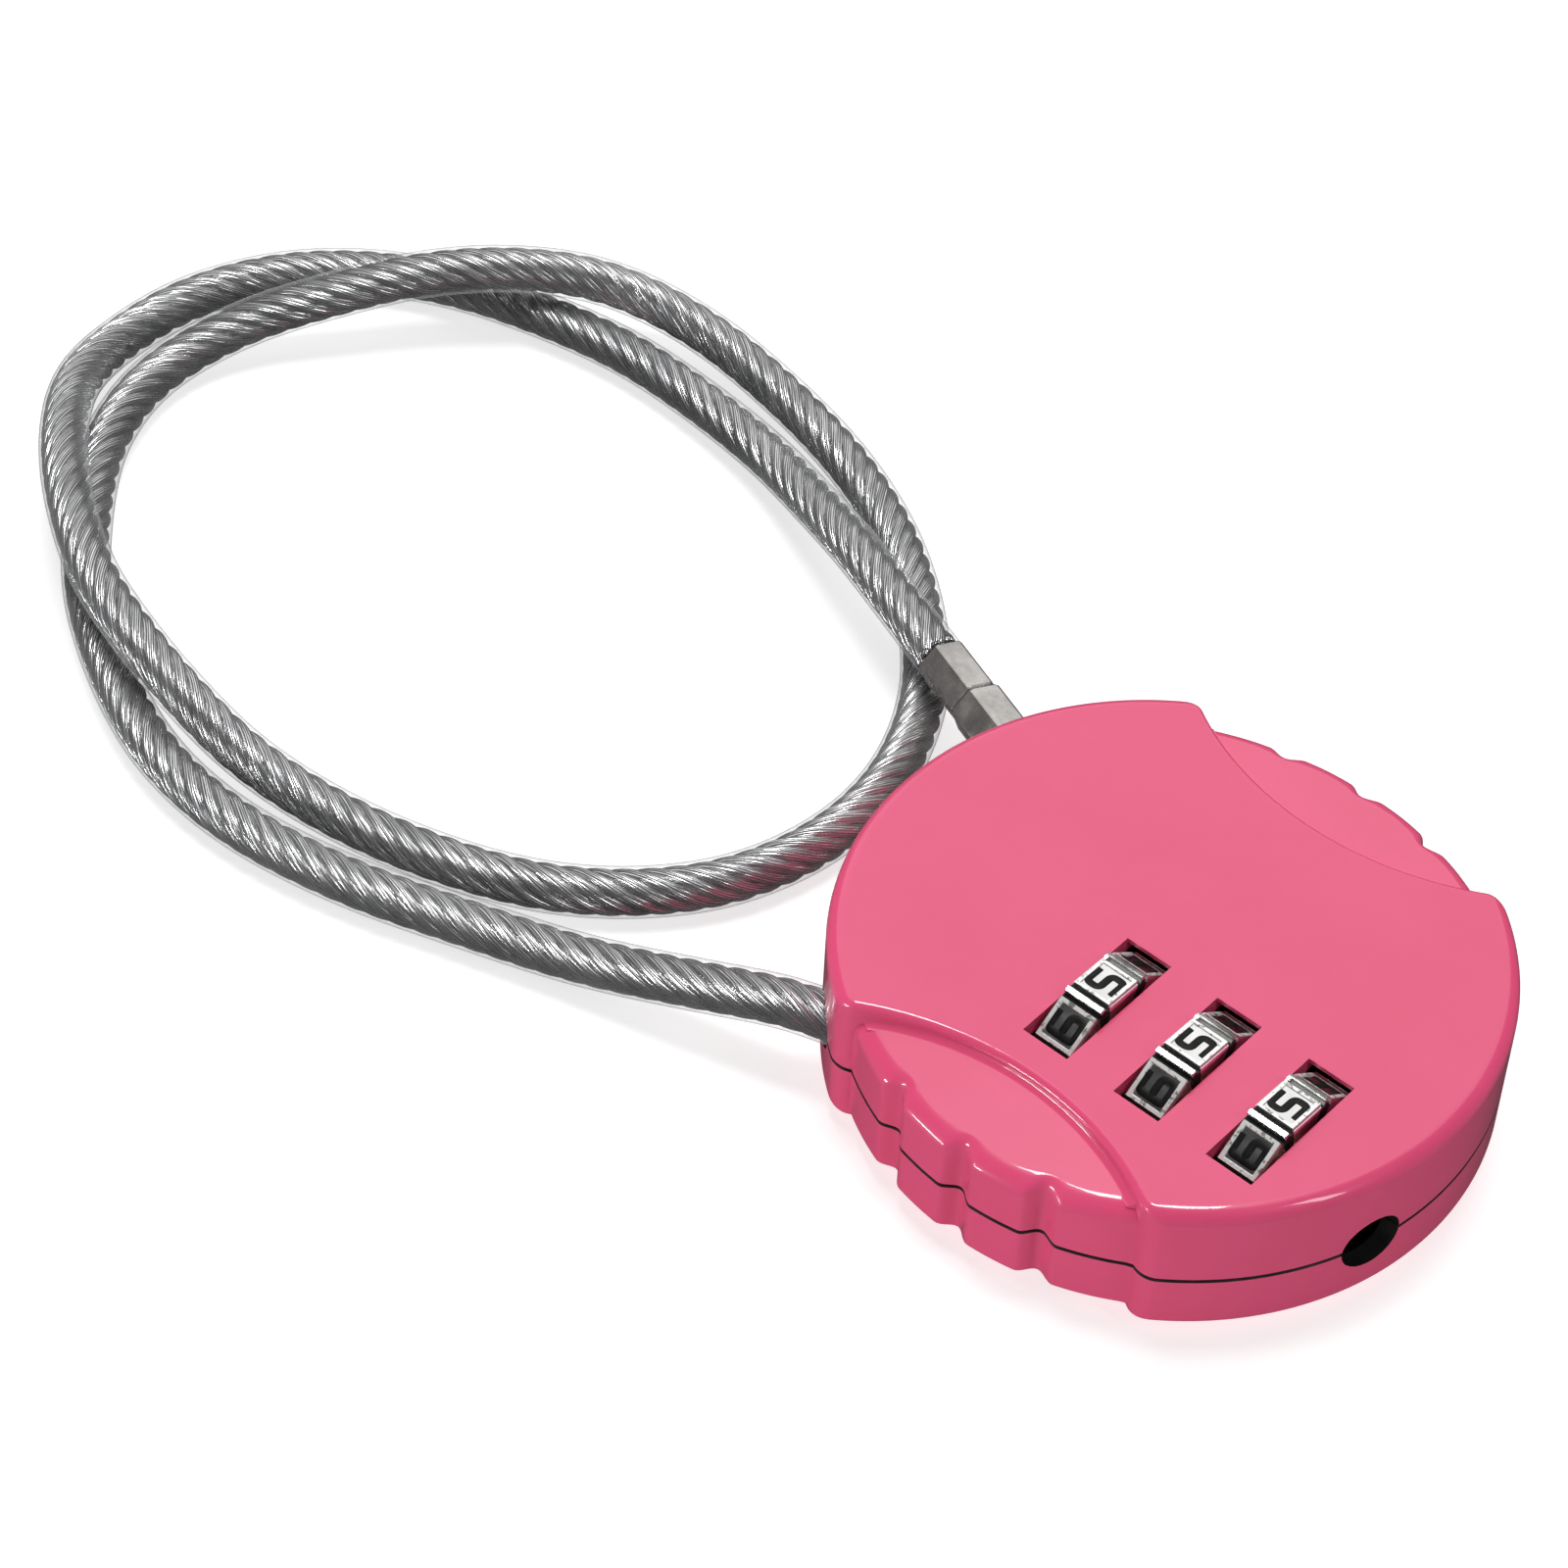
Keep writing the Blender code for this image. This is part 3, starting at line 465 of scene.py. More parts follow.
def make_wires():
    """Bright drawn wires laid round each strand, from the strand's own UV map."""
    shader = Shader("rope_wires")
    shader.set(Metallic=1.0)
    laid = shader.node("ShaderNodeUVMap", uv_map="lay").outputs["UV"]
    split = shader.node("ShaderNodeSeparateXYZ", [(0, laid)])
    across = shader.math("MULTIPLY", split.outputs["X"], WIRES_PER_STRAND)
    turned_lay = shader.math("ADD", across, shader.math("MULTIPLY", split.outputs["Y"], -0.55))
    ripple = shader.math("PINGPONG", turned_lay, 0.5)
    profile = shader.math("POWER", shader.math("MULTIPLY", ripple, 2.0), 0.5)
    stretched = shader.node("ShaderNodeCombineXYZ", [
        ("X", shader.math("MULTIPLY", turned_lay, 0.9)),
        ("Y", shader.math("MULTIPLY", split.outputs["Y"], 0.22))]).outputs["Vector"]
    uneven = shader.spread(shader.noise(1.0, detail=3.0, vector=stretched), 0.35, 0.65, 0.0, 1.0)
    bright = shader.blend(uneven, (0.30, 0.30, 0.31), (0.95, 0.95, 0.95))
    # Painted shade: the base colour goes near-black in the crevices between the wires.
    tone = shader.blend(shader.spread(profile, 0.25, 0.75, 0.0, 1.0), (0.02, 0.02, 0.02), bright)
    shader.link(tone, "Base Color")
    shader.link(shader.spread(uneven, 0.0, 1.0, 0.34, 0.16), "Roughness")
    shader.link(shader.bump(profile, 0.8, 0.00006), "Normal")
    return shader.material


def make_jacket():
    """Clear flexible jacket: mostly see-through and glossy, with painted edge shade, grey where it is seen edge
    on, standing in for its refraction.
    """
    shader = Shader("clear_jacket")
    shader.set(Roughness=0.06, IOR=1.45)
    edge = shader.node("ShaderNodeLayerWeight", [("Blend", 0.5)]).outputs["Facing"]
    haze = shader.noise(250.0)
    # Painted edge shade: the jacket turns more opaque where it is seen edge on.
    rim = shader.math("POWER", edge, 4.0)
    milk = shader.spread(haze, 0.3, 0.7, 0.04, 0.09)
    shader.link(shader.math("ADD", milk, shader.math("MULTIPLY", rim, 0.8)), "Alpha")
    # Painted edge shade: the colour turns grey where the jacket is seen edge on.
    shader.link(shader.blend(shader.math("POWER", edge, 3.0), (0.85, 0.86, 0.87),
                             (0.36, 0.37, 0.38)), "Base Color")
    return shader.material


# ---------------------------------------------------------------- shells

def heading(vector):
    """The direction of a flat vector, in degrees anticlockwise from +X."""
    return math.degrees(math.atan2(vector[1], vector[0]))


def bite_centre(side):
    return Vector((BITE_SHIFT[0], side * BITE_CENTRE + BITE_SHIFT[1]))


def slab_spots():
    """The body's outline, a circle bitten on both sides with its four corners rounded.  Each
    spot lists its arc's centre and radius, its angle, 1 or -1 as the outline's inset shrinks or
    swells the arc, and the share of the fillet that it gets."""
    reach = BODY_RADIUS - CORNER_RADIUS
    outside = BITE_RADIUS + CORNER_RADIUS
    bites = [bite_centre(1), bite_centre(-1)]
    spots = []

    def arc(centre, radius, start, end, count, sign, shares):
        for i in range(count):
            angle = start + (end - start) * i / count
            share = shares[0] + (shares[1] - shares[0]) * smoothstep(i / count)
            spots.append((centre, radius, angle, sign, share))

    corner_angles = []
    for bite in bites:
        along = (reach ** 2 - outside ** 2 + bite.length ** 2) / (2 * bite.length)
        tilt = math.degrees(math.acos(along / reach))
        corner_angles.append((heading(bite) % 360 - tilt, heading(bite) % 360 + tilt))
    rim_start = corner_angles[-1][1] - 360
    low_share = BITE_FILLET_SHARE
    for bite, (first, second) in zip(bites, corner_angles):
        a = Vector(polar(reach, first))
        b = Vector(polar(reach, second))
        turn_in = first + (heading(bite - a) - first) % 360
        turn_out = second - (second - heading(bite - b)) % 360
        arc((0, 0), BODY_RADIUS, rim_start, first, 140, 1, (1.0, 1.0))
        arc(a, CORNER_RADIUS, first, turn_in, 20, 1, (1.0, low_share))
        arc(bite, BITE_RADIUS, turn_in + 180, turn_out + 180, 90, -1, (low_share, low_share))
        arc(b, CORNER_RADIUS, turn_out, second, 20, 1, (low_share, 1.0))
        rim_start = second
    return spots


def slab_ring(inset, z, drop=0.0, even=False):
    """The body's outline moved inwards and down; an even ring ignores the fillet's shares."""
    ring = []
    for centre, radius, angle, sign, share in slab_spots():
        if even:
            share = 1.0
        x, y = polar(radius - sign * inset * share, angle)
        ring.append((centre[0] + x, centre[1] + y, z - drop * share))
    return ring


def crescent_radius(angle):
    """Radius of the fluted crescents at this many degrees off the crescents' middle."""
    radius = CRESCENT_RADIUS
    for flute in (-FLUTE_SPACING, 0.0, FLUTE_SPACING):
        off = abs(angle - flute) / FLUTE_HALF_ANGLE
        if off < 1:
            radius -= FLUTE_DEPTH * (0.5 + 0.5 * math.cos(math.pi * off))
    rise = (abs(angle) - STEP_START_ANGLE) / (STEP_END_ANGLE - STEP_START_ANGLE)
    return radius + smoothstep(rise) * (CRESCENT_HIDDEN_RADIUS - CRESCENT_RADIUS)


def face_radius(angle):
    """Radius of the crescents' faces, whose edge only waves softly over the flutes."""
    radius = CRESCENT_FACE_RADIUS + (crescent_radius(angle) - CRESCENT_RADIUS
                                     if abs(angle) > STEP_START_ANGLE else 0.0)
    for flute in (-FLUTE_SPACING, 0.0, FLUTE_SPACING):
        off = abs(angle - flute) / CRESCENT_FACE_HALF_ANGLE
        if off < 1:
            radius -= CRESCENT_FACE_WAVE * (0.5 + 0.5 * math.cos(math.pi * off))
    return radius


def crescent_top(y):
    """Height of the crescents' faces, which slope down outwards."""
    return CRESCENT_TOP - CRESCENT_SLOPE * (abs(y) - CRESCENT_TOP_AT)


def crescent_ring(side, share, z, slope=0.0, inset=0.0):
    """One crescent's outline, moved this share of the way from the fluted wall to the face's
    edge, on a level or outward-sloping plane."""
    middle = 90.0 * side
    count = 260
    ring = []
    for i in range(count + 1):
        off = CRESCENT_HALF_ANGLE * (2 * i / count - 1)
        wall = crescent_radius(off) - inset
        ring.append(polar(wall + (face_radius(off) - wall) * share, middle + off))
    for off in (CRESCENT_HALF_ANGLE, -CRESCENT_HALF_ANGLE):
        ring.append(polar(CRESCENT_ROOT_RADIUS, middle + off))
    return [(x, y, z - slope * (abs(y) - CRESCENT_TOP_AT)) for x, y in ring]


def fillet_steps(fillet):
    """How far in and down a rounded edge has turned, step by step."""
    turns = [math.pi / 2 * i / FILLET_STEPS for i in range(FILLET_STEPS + 1)]
    return [(fillet * (1 - math.cos(turn)), fillet * (1 - math.sin(turn))) for turn in turns]


def rounded_slab(flat_z, edge_z, fillet):
    """The bitten slab from a chamfered parting face at flat_z to a rounded edge at edge_z."""
    direction = 1 if edge_z > flat_z else -1
    rings = [slab_ring(PARTING_CHAMFER, flat_z, even=True),
             slab_ring(0.0, flat_z + direction * PARTING_CHAMFER)]
    rings += [slab_ring(inset, edge_z, direction * drop) for inset, drop in fillet_steps(fillet)]
    return loft(rings)


def raised_crescent(side, flat_z):
    """An upper crescent: fluted wall, broad rounded edge, outward-sloping face."""
    rings = [crescent_ring(side, 0.0, flat_z, inset=PARTING_CHAMFER),
             crescent_ring(side, 0.0, flat_z + PARTING_CHAMFER)]
    rings += [crescent_ring(side, inset / CRESCENT_FILLET, CRESCENT_TOP - drop, CRESCENT_SLOPE)
              for inset, drop in fillet_steps(CRESCENT_FILLET)]
    return loft(rings)


def lower_crescent(side, flat_z):
    rings = [crescent_ring(side, 0.0, flat_z, inset=PARTING_CHAMFER),
             crescent_ring(side, 0.0, flat_z - PARTING_CHAMFER)]
    rings += [crescent_ring(side, 0.0, CRESCENT_BOTTOM + drop, inset=inset)
              for inset, drop in fillet_steps(CRESCENT_BOTTOM_FILLET)]
    return loft(rings)


def cove(side, flat_z):
    """The hollow fillet between a bite's wall and the crescent's sloping face.  Its profile
    lists reaches from the bite's centre and lifts above the face, or None deep in the body."""
    centre = bite_centre(side)
    profile = [(BITE_RADIUS + COVE_RADIUS, None), (BITE_RADIUS + COVE_RADIUS, COVE_RADIUS)]
    profile += [(BITE_RADIUS - inset, drop) for inset, drop in fillet_steps(COVE_RADIUS)]
    profile.append((BITE_RADIUS - COVE_RADIUS, None))
    rings = []
    count = 160
    for i in range(count + 1):
        angle = -90.0 * side + COVE_HALF_ANGLE * (2 * i / count - 1)
        ring = []
        for reach, lift in profile:
            out_x, out_y = polar(reach, angle)
            x, y = centre.x + out_x, centre.y + out_y
            z = flat_z + 1.0 if lift is None else crescent_top(y) - COVE_DEPTH + lift
            ring.append((x, y, z))
        rings.append(ring)
    return loft(rings)


def box(size, centre):
    bm = bmesh.new()
    bmesh.ops.create_cube(bm, size=1.0)
    bmesh.ops.scale(bm, vec=size, verts=bm.verts)
    bmesh.ops.translate(bm, vec=centre, verts=bm.verts)
    return bm


def upright(radius, low, high, place, sides=64):
    """A vertical cylinder."""
    bm = bmesh.new()
    bmesh.ops.create_cone(bm, cap_ends=True, segments=sides, radius1=radius, radius2=radius,
                          depth=high - low)
    bmesh.ops.translate(bm, vec=(*place, (low + high) / 2), verts=bm.verts)
    return bm


def combine(piece, operation, solid, inside=None):
    """Join or cut a piece with another solid, and keep the result as plain mesh; the cut's own
    faces may take a material."""
    tool = solid if isinstance(solid, bpy.types.Object) else finish_mesh("tool", solid)
    if inside:
        paint(tool, inside)
    modifier = piece.modifiers.new("tool", "BOOLEAN")
    modifier.operation = operation
    modifier.solver = "EXACT"
    modifier.material_mode = "TRANSFER"
    modifier.object = tool
    settled = bpy.data.meshes.new_from_object(
        piece.evaluated_get(bpy.context.evaluated_depsgraph_get()))
    piece.modifiers.clear()
    piece.data = settled
    bpy.data.objects.remove(tool, do_unlink=True)


def build_shell(name, upper, enamel, painted_shade):
    """One shell: bitten slab, fluted crescents, cove, cavity, windows and holes."""
    flat = PARTING_Z + (PARTING_GAP / 2 if upper else -PARTING_GAP / 2)
    edge, fillet = (BODY_TOP, TOP_FILLET) if upper else (0.0, BOTTOM_FILLET)
    shell = finish_mesh(name, rounded_slab(flat, edge, fillet))
    paint(shell, enamel)
    for side in (-1, 1):
        if upper:
            hollow = finish_mesh("cove", cove(side, flat))
            paint(hollow, enamel)
            tall = loft([crescent_ring(side, 0.0, z, inset=COVE_RADIUS) for z in (flat, BODY_TOP)])
            combine(hollow, "INTERSECT", tall, enamel)
            combine(shell, "UNION", raised_crescent(side, flat), enamel)
            combine(shell, "UNION", hollow, enamel)
        else:
            combine(shell, "UNION", lower_crescent(side, flat), enamel)
    inner = edge - WALL if upper else edge + WALL
    outer = flat - 1 if upper else flat + 1
    # Painted shade: the hollow inside is cut with the near-black painted-shade material.
    combine(shell, "DIFFERENCE", loft([slab_ring(WALL, z, even=True) for z in (outer, inner)]),
            painted_shade)
    for x, y, z in WHEEL_CENTRES:
        window = box((WINDOW_WIDTH, WINDOW_LENGTH, WINDOW_CUT), (x, WINDOW_Y, edge))
        combine(shell, "DIFFERENCE", window, enamel)
        half = WINDOW_WIDTH / 2
        room = [(-half, 0.5), (-half, RIDGE_RADIUS + WHEEL_ROOM),
                (half, RIDGE_RADIUS + WHEEL_ROOM), (half, 0.5)]
        combine(shell, "DIFFERENCE", turned(room, (x, y, z), 0.0), enamel)
    holes = [((*PIN_ENTRY, PARTING_Z), PIN_ANGLE, SOCKET_RADIUS, 4.0),
             ((*CABLE_ENTRY, PARTING_Z), CABLE_ANGLE, CABLE_HOLE_RADIUS, 5.5),
             ((BODY_RADIUS - 1.0, RESET_Y, PARTING_Z), 0.0, RESET_HOLE_RADIUS, 3.0)]
    for place, direction, radius, depth in holes:
        rod = [(-4.0, radius), (depth, radius)]
        # Painted shade: the holes' walls take the near-black painted-shade material.
        combine(shell, "DIFFERENCE", turned(rod, place, direction, closed=False), painted_shade)
    if not upper:
        for i, place in enumerate(SCREW_PLACES):
            floor = 0.0 if i < 3 else CRESCENT_BOTTOM
            combine(shell, "DIFFERENCE", upright(SCREW_ROOM, floor - 1, floor + SCREW_DEPTH, place),
                    enamel)
    # Painted shade: the chamfered parting faces are coloured near-black to draw the dark parting line.
    dark = list(shell.data.materials).index(painted_shade)
    for face in shell.data.polygons:
        near = abs((face.center.z - BODY_Z) / MM - flat) < PARTING_CHAMFER
        if near and abs(face.normal.z) > 0.3:
            face.material_index = dark
    shell.data.shade_smooth()
    shell.data.set_sharp_from_angle(angle=math.radians(30))
    settle = shell.modifiers.new("weighted", "WEIGHTED_NORMAL")
    settle.keep_sharp = True
    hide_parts(name)
    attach(shell, "lock_body")
    return shell


# ---------------------------------------------------------------- number wheels

def wheel_ring(x, panel, ridge, sunk):
    """One ring of a wheel: ten bordered flat panels with a ridge between each two."""
    across = [
        (-PANEL_HALF_ANGLE, 0.0), (-12.4, 0.0), (-10.6, 0.0), (-10.2, sunk), (-6.0, sunk),
        (-2.0, sunk), (2.0, sunk), (6.0, sunk), (10.2, sunk), (10.6, 0.0), (12.4, 0.0),
        (PANEL_HALF_ANGLE, 0.0)]
    between = [
        (GROOVE_START_ANGLE, GROOVE_RADIUS), (15.7, GROOVE_RADIUS), (16.2, ridge - 0.08),
        (16.9, ridge), (19.1, ridge), (19.8, ridge - 0.08), (20.3, GROOVE_RADIUS),
        (22.9, GROOVE_RADIUS)]
    ring = []
    for digit in range(DIGITS):
        middle = 90 + RIDGE_PHASE - DIGIT_STEP / 2 + DIGIT_STEP * digit
        for off, depth in across:
            reach = panel * PANEL_FLAT / math.cos(math.radians(off)) - depth
            ring.append((x, *polar(reach, middle + off)))
        for off, radius in between:
            ring.append((x, *polar(radius, middle + off)))
    return ring


def detail_wheel(wheel, centre, worn, ink_and_groove_shade):
    """Give the panels' borders worn metal, and colour the grooves beside the ridges black as painted shade."""
    wheel.data.materials.append(worn)
    wheel.data.materials.append(ink_and_groove_shade)
    panel_height = PANEL_RADIUS * PANEL_FLAT - PANEL_SINK / 2
    for face in wheel.data.polygons:
        y = face.center.y / MM - centre[1]
        z = (face.center.z - BODY_Z) / MM - centre[2]
        reach = math.hypot(y, z)
        angle = math.degrees(math.atan2(z, y))
        off = (angle - 90 - RIDGE_PHASE + DIGIT_STEP) % DIGIT_STEP - DIGIT_STEP / 2
        if abs(off) < PANEL_HALF_ANGLE and reach * math.cos(math.radians(off)) > panel_height:
            face.material_index = 1
        elif abs(off) > GROOVE_START_ANGLE and WHEEL_BORE + 0.5 < reach < GROOVE_RADIUS + 0.05:
            # Painted shade: the grooves beside the ridges are coloured black.
            face.material_index = 2


def build_wheel(index, centre, nickel, worn, ink_and_groove_shade):
    half = WHEEL_WIDTH / 2
    low = GROOVE_RADIUS / PANEL_FLAT
    inner = half - 0.14 - BORDER_WIDTH
    stations = [(half, low, RIDGE_RADIUS - 0.16, 0.0), (half - 0.04, low, RIDGE_RADIUS - 0.05, 0.0),
                (half - 0.08, low, RIDGE_RADIUS, 0.0),
                (half - 0.1, PANEL_RADIUS - 0.06, RIDGE_RADIUS, 0.0),
                (half - 0.15, PANEL_RADIUS, RIDGE_RADIUS, 0.0),
                (inner, PANEL_RADIUS, RIDGE_RADIUS, 0.0),
                (inner - 0.06, PANEL_RADIUS, RIDGE_RADIUS, PANEL_SINK)]
    outside = [wheel_ring(-x, *shape) for x, *shape in stations]
    outside += [wheel_ring(x, *shape) for x, *shape in reversed(stations)]
    rims = []
    for x in (-half, half):
        ring = wheel_ring(x, PANEL_RADIUS, RIDGE_RADIUS, 0.0)
        rims.append([(x, y * WHEEL_BORE / math.hypot(y, z), z * WHEEL_BORE / math.hypot(y, z))
                     for _, y, z in ring])
    bm = loft([rims[0]] + outside + [rims[1]], closed=True)
    bmesh.ops.translate(bm, vec=centre, verts=bm.verts)
    wheel = finish_mesh(f"dial_{index}_rim", bm)
    paint(wheel, nickel)
    detail_wheel(wheel, centre, worn, ink_and_groove_shade)
    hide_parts(f"number_wheel_{index}")
    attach(wheel, f"dial_{index}")
    digits = build_digits(index, centre)
    paint(digits, ink_and_groove_shade)
    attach(digits, f"dial_{index}")


def rounded_stroke(corners):
    """A stroke's points, each inner corner turned into a small curve."""
    points = [Vector((x * DIGIT_HALF_WIDTH, y * DIGIT_HALF_HEIGHT, 0)) for x, y in corners]
    path = [points[0]]
    for before, corner, after in zip(points, points[1:], points[2:]):
        start = corner + (before - corner).normalized() * DIGIT_CORNER
        finish = corner + (after - corner).normalized() * DIGIT_CORNER
        for i in range(7):
            t = i / 6
            path.append(start * (1 - t) ** 2 + corner * 2 * t * (1 - t) + finish * t ** 2)
    path.append(points[-1])
    return path


def digit_mesh(digit):
    """One digit as flattened round strokes, in millimetres."""
    curve = bpy.data.curves.new("digit", "CURVE")
    curve.dimensions = "3D"
    curve.bevel_depth = DIGIT_STROKE
    curve.bevel_resolution = 4
    curve.use_fill_caps = True
    for corners in DIGIT_STROKES[digit]:
        path = rounded_stroke(corners)
        spline = curve.splines.new("POLY")
        spline.points.add(len(path) - 1)
        for spot, point in zip(spline.points, path):
            spot.co = (*point, 1.0)
    holder = bpy.data.objects.new("digit", curve)
    bpy.context.scene.collection.objects.link(holder)
    mesh = bpy.data.meshes.new_from_object(
        holder.evaluated_get(bpy.context.evaluated_depsgraph_get()))
    bpy.data.objects.remove(holder, do_unlink=True)
    bm = bmesh.new()
    bm.from_mesh(mesh)
    bmesh.ops.scale(bm, vec=(1, 1, 0.25), verts=bm.verts)
    return bm


def build_digits(index, centre):
    """Ten digits lying flush on the panels, their tops towards -X, counting up towards -Y."""
    whole = bmesh.new()
    for step in range(DIGITS):
        bm = digit_mesh((FIRST_DIGIT + step) % DIGITS)
        around = math.radians(RIDGE_PHASE - DIGIT_STEP / 2 + DIGIT_STEP * step)
        upright_turn = Matrix.Rotation(math.pi / 2, 4, "Z")
        out = Matrix.Translation((0, 0, PANEL_RADIUS * PANEL_FLAT - PANEL_SINK))
        spin = Matrix.Rotation(around, 4, "X")
        bm.transform(Matrix.Translation(centre) @ spin @ out @ upright_turn)
        scratch = bpy.data.meshes.new("digit")
        bm.to_mesh(scratch)
        bm.free()
        whole.from_mesh(scratch)
        bpy.data.meshes.remove(scratch)
    return finish_mesh(f"dial_{index}_digits", whole)


# ---------------------------------------------------------------- pin and crimp

def build_pin(nickel):
    """The locking pin and the crimp behind its head, both pressed with the same flats."""
    place = (*PIN_ENTRY, PARTING_Z)
    profile = [(-8.1, PIN_HEAD_RADIUS - 0.35), (-8.0, PIN_HEAD_RADIUS - 0.12),
            (-7.8, PIN_HEAD_RADIUS), (0.8, PIN_HEAD_RADIUS), (1.0, 1.8), (7.2, 1.8), (7.6, 1.0),
            (9.6, 1.0), (10.0, 1.8), (11.2, 1.8), (12.6, 0.7)]
    pin = finish_mesh("pin_body", turned(profile, place, PIN_ANGLE, sides=180, closed=False,
                                         flats=CRIMP_FLATS), 20.0)
    paint(pin, nickel)
    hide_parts("locking_pin")
    crimp_profile = [(-8.2, CRIMP_RADIUS - 0.25), (-8.28, CRIMP_RADIUS - 0.05),
                     (-8.4, CRIMP_RADIUS), (-13.25, CRIMP_RADIUS), (-13.42, CRIMP_RADIUS - 0.05),
                     (-13.5, CRIMP_RADIUS - 0.2)]
    crimp = finish_mesh("crimp_body", turned(crimp_profile, place, PIN_ANGLE, sides=180,
                                             closed=False, flats=CRIMP_FLATS), 20.0)
    paint(crimp, nickel)
    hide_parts("cable_crimp")
    for piece in (pin, crimp):
        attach(piece, "cable_pin")
    return crimp


# ---------------------------------------------------------------- cable

def cable_path():
    """Evenly spaced points on one smooth curve from the crimp into the body, as arrays."""
    heading = np.array([*polar(1.0, PIN_ANGLE), 0.0])
    entry = np.array([*PIN_ENTRY, PARTING_Z])
    inward = np.array([*polar(1.0, CABLE_ANGLE), 0.0])
    fixed = np.array([*CABLE_ENTRY, PARTING_Z])
    route = [entry - heading * (13.5 + FACE_GAP), entry - heading * 16.5]
    route += [np.array(point) for point in CABLE_ROUTE]
    route += [fixed - inward * 1.0, fixed + inward * (ANCHOR_START - FACE_GAP)]
    padded = [route[0] * 2 - route[1]] + route + [route[-1] * 2 - route[-2]]
    fine = []
    for a, b, c, d in zip(padded, padded[1:], padded[2:], padded[3:]):
        for t in np.arange(0, 1, 0.05):
            fine.append(0.5 * (2 * b + (c - a) * t + (2 * a - 5 * b + 4 * c - d) * t ** 2
                               + (3 * b - a - 3 * c + d) * t ** 3))
    fine = np.array(fine + [route[-1]])
    for _ in range(40):
        fine[1:-1] = fine[1:-1] * 0.5 + (fine[:-2] + fine[2:]) * 0.25
    run = np.concatenate([[0], np.cumsum(np.linalg.norm(np.diff(fine, axis=0), axis=1))])
    count = int(run[-1] / CABLE_STEP)
    even = np.linspace(0, run[-1], count + 1)
    return np.stack([np.interp(even, run, fine[:, k]) for k in range(3)], axis=1), even


def travelling_frames(path):
    """Two directions square to the path at each point, carried along without twist."""
    forward = np.gradient(path, axis=0)
    forward /= np.linalg.norm(forward, axis=1)[:, None]
    side = np.cross(forward[0], [0.0, 0.0, 1.0])
    sides = []
    for direction in forward:
        side = side - direction * (side @ direction)
        side = side / np.linalg.norm(side)
        sides.append(side.copy())
    sides = np.array(sides)
    return sides, np.cross(forward, sides)


def sweep(name, path, sides, ups, radius, count, uv=None):
    """A capped tube along a path, with quads between rings of this many points."""
    angles = np.linspace(0, 2 * math.pi, count, endpoint=False)
    rings = (path[:, None, :]
             + radius * np.cos(angles)[None, :, None] * sides[:, None, :]
             + radius * np.sin(angles)[None, :, None] * ups[:, None, :])
    n = len(path)
    verts = rings.reshape(-1, 3) * MM + np.array([0, 0, BODY_Z])
    i = np.arange(n - 1)[:, None]
    j = np.arange(count)[None, :]
    k = (j + 1) % count
    quads = np.stack([i * count + j, i * count + k, (i + 1) * count + k, (i + 1) * count + j],
                     axis=-1).reshape(-1, 4)
    faces = [tuple(int(v) for v in quad) for quad in quads]
    faces.append(tuple(range(count - 1, -1, -1)))
    faces.append(tuple(range((n - 1) * count, n * count)))
    mesh = bpy.data.meshes.new(name)
    mesh.from_pydata(verts.tolist(), [], faces)
    if uv is not None:
        layer = mesh.uv_layers.new(name="lay")
        around = np.stack([j, j + 1, j + 1, j], axis=-1) / count + 0 * i[..., None]
        along = np.stack([uv[i], uv[i], uv[i + 1], uv[i + 1]], axis=-1) + 0 * j[..., None]
        flat = np.stack([around, along], axis=-1).reshape(-1, 2)
        full = np.zeros((len(layer.data), 2))
        full[:len(flat)] = flat
        layer.data.foreach_set("uv", full.ravel())
    mesh.shade_smooth()
    piece = bpy.data.objects.new(name, mesh)
    bpy.context.scene.collection.objects.link(piece)
    return piece


def build_cable(jacket_material, wire_material):
    path, run = cable_path()
    sides, ups = travelling_frames(path)
    jacket = sweep("cable_jacket", path, sides, ups, CABLE_RADIUS, JACKET_SIDES)
    paint(jacket, jacket_material)
    strands = []
    for number in range(STRANDS):
        turn = 2 * math.pi * (run / STRAND_PITCH + number / STRANDS)
        centre = path + STRAND_HELIX * (np.cos(turn)[:, None] * sides + np.sin(turn)[:, None] * ups)
        strand_sides, strand_ups = travelling_frames(centre)
        strands.append(sweep(f"rope_strand_{number + 1}", centre, strand_sides, strand_ups,
                             STRAND_RADIUS, STRAND_SIDES, uv=run))
    strands.append(sweep("rope_core", path, sides, ups, CORE_RADIUS, STRAND_SIDES, uv=run))
    for strand in strands:
        paint(strand, wire_material)
    for piece in [jacket] + strands:
        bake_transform(piece)
    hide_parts("steel_cable")


# ---------------------------------------------------------------- stage

def add_camera():
    azimuth, elevation, roll = (math.radians(v) for v in (
        CAMERA_AZIMUTH, CAMERA_ELEVATION, CAMERA_ROLL))
    back = Vector((math.sin(azimuth) * math.cos(elevation),
                   -math.cos(azimuth) * math.cos(elevation), math.sin(elevation)))
    right = Vector((0, 0, 1)).cross(back).normalized()
    up = back.cross(right)
    across = right * math.cos(roll) + up * math.sin(roll)
    above = up * math.cos(roll) - right * math.sin(roll)
    target = Vector(CAMERA_TARGET) * MM + Vector((0, 0, BODY_Z))
    data = bpy.data.cameras.new("camera")
    data.sensor_width = 36.0
    data.lens = CAMERA_LENS
    data.clip_start = 0.01
    camera = bpy.data.objects.new("camera", data)
    bpy.context.scene.collection.objects.link(camera)
    turn = Matrix((across, above, back)).transposed().to_4x4()
    camera.matrix_world = Matrix.Translation(target + back * CAMERA_DISTANCE) @ turn
    bpy.context.scene.camera = camera


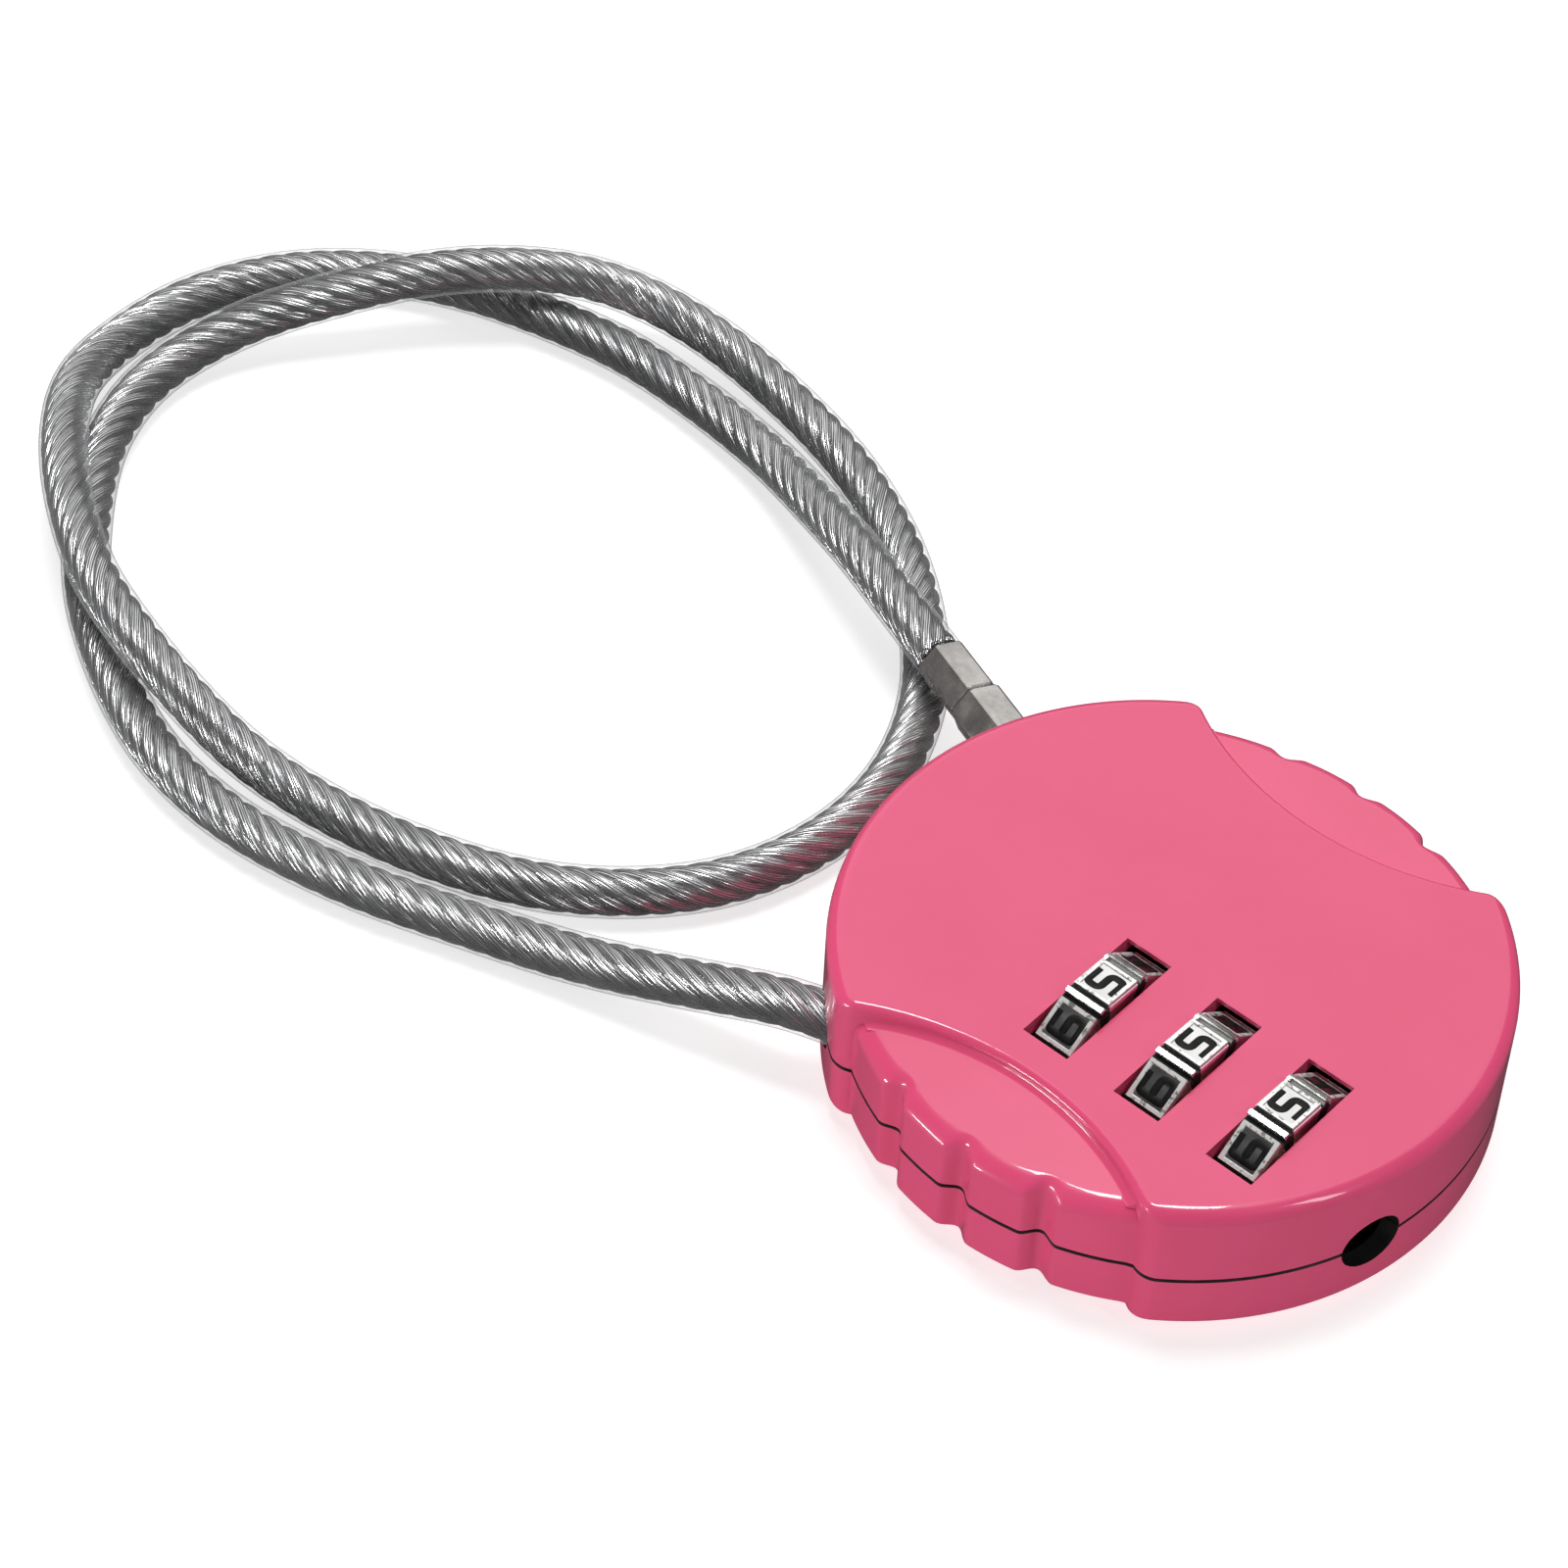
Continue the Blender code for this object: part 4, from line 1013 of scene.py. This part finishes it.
def add_light(name, place, size, power):
    """A soft rectangular lamp pointing at the model; places and sizes are in metres."""
    data = bpy.data.lights.new(name, "AREA")
    data.shape = "RECTANGLE"
    data.size, data.size_y = size
    data.energy = power
    lamp = bpy.data.objects.new(name, data)
    bpy.context.scene.collection.objects.link(lamp)
    lamp.visible_camera = False
    lamp.location = place
    lamp.rotation_euler = (Vector(LIGHT_AIM) - Vector(place)).to_track_quat("-Z", "Y").to_euler()


def add_stage():
    bm = bmesh.new()
    bmesh.ops.create_grid(bm, x_segments=1, y_segments=1, size=FLOOR_SIZE)
    mesh = bpy.data.meshes.new("floor")
    bm.to_mesh(mesh)
    bm.free()
    floor = bpy.data.objects.new("floor", mesh)
    floor.location = (0, 0, cad_box[0][2] - 0.0002)
    bpy.context.scene.collection.objects.link(floor)
    floor.visible_glossy = False
    shader = Shader("floor_white")
    shader.set(Base_Color=(0.45, 0.45, 0.45), Roughness=0.9, Emission_Color=(1.0, 1.0, 1.0),
               Emission_Strength=FLOOR_GLOW)
    paint(floor, shader.material)
    for light in LIGHTS:
        add_light(*light)
    world = bpy.data.worlds.new("studio")
    world.use_nodes = True
    world.node_tree.nodes["Background"].inputs["Color"].default_value = (1, 1, 1, 1)
    world.node_tree.nodes["Background"].inputs["Strength"].default_value = WORLD_GLOW
    bpy.context.scene.world = world
    bpy.context.scene.view_settings.view_transform = "Standard"


def build_reset_spring(steel):
    """The CAD coil again, as a painted copy riding with the body."""
    coil = bpy.data.objects.new("reset_coil", frame["nodes"]["reset_spring"].data.copy())
    bpy.context.scene.collection.objects.link(coil)
    paint(coil, steel)
    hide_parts("reset_spring")
    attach(coil, "lock_body")
    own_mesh(coil)


def main():
    add_camera()
    add_stage()
    enamel = make_enamel()
    nickel = make_nickel()
    pin_nickel = make_pin_nickel()
    steel = make_steel()
    brass = make_brass()
    worn = make_worn_nickel()
    ink_and_groove_shade = make_ink_and_groove_shade()
    crimp = build_pin(pin_nickel)
    build_cable(make_jacket(), make_wires())
    painted_shade = make_painted_shade()
    build_shell("upper_shell", True, enamel, painted_shade)
    build_shell("lower_shell", False, enamel, painted_shade)
    for index, centre in enumerate(WHEEL_CENTRES, 1):
        build_wheel(index, centre, nickel, worn, ink_and_groove_shade)
    build_reset_spring(steel)
    finishes = {"plain_steel": steel, "brass": brass, "dial_nickel": nickel}
    slots = {entry["node"]: entry["material_slot"] for entry in frame["record"]["subparts"]}
    for name, node in frame["nodes"].items():
        if not node.hide_render and slots[name] in finishes:
            paint(node, finishes[slots[name]])


main()
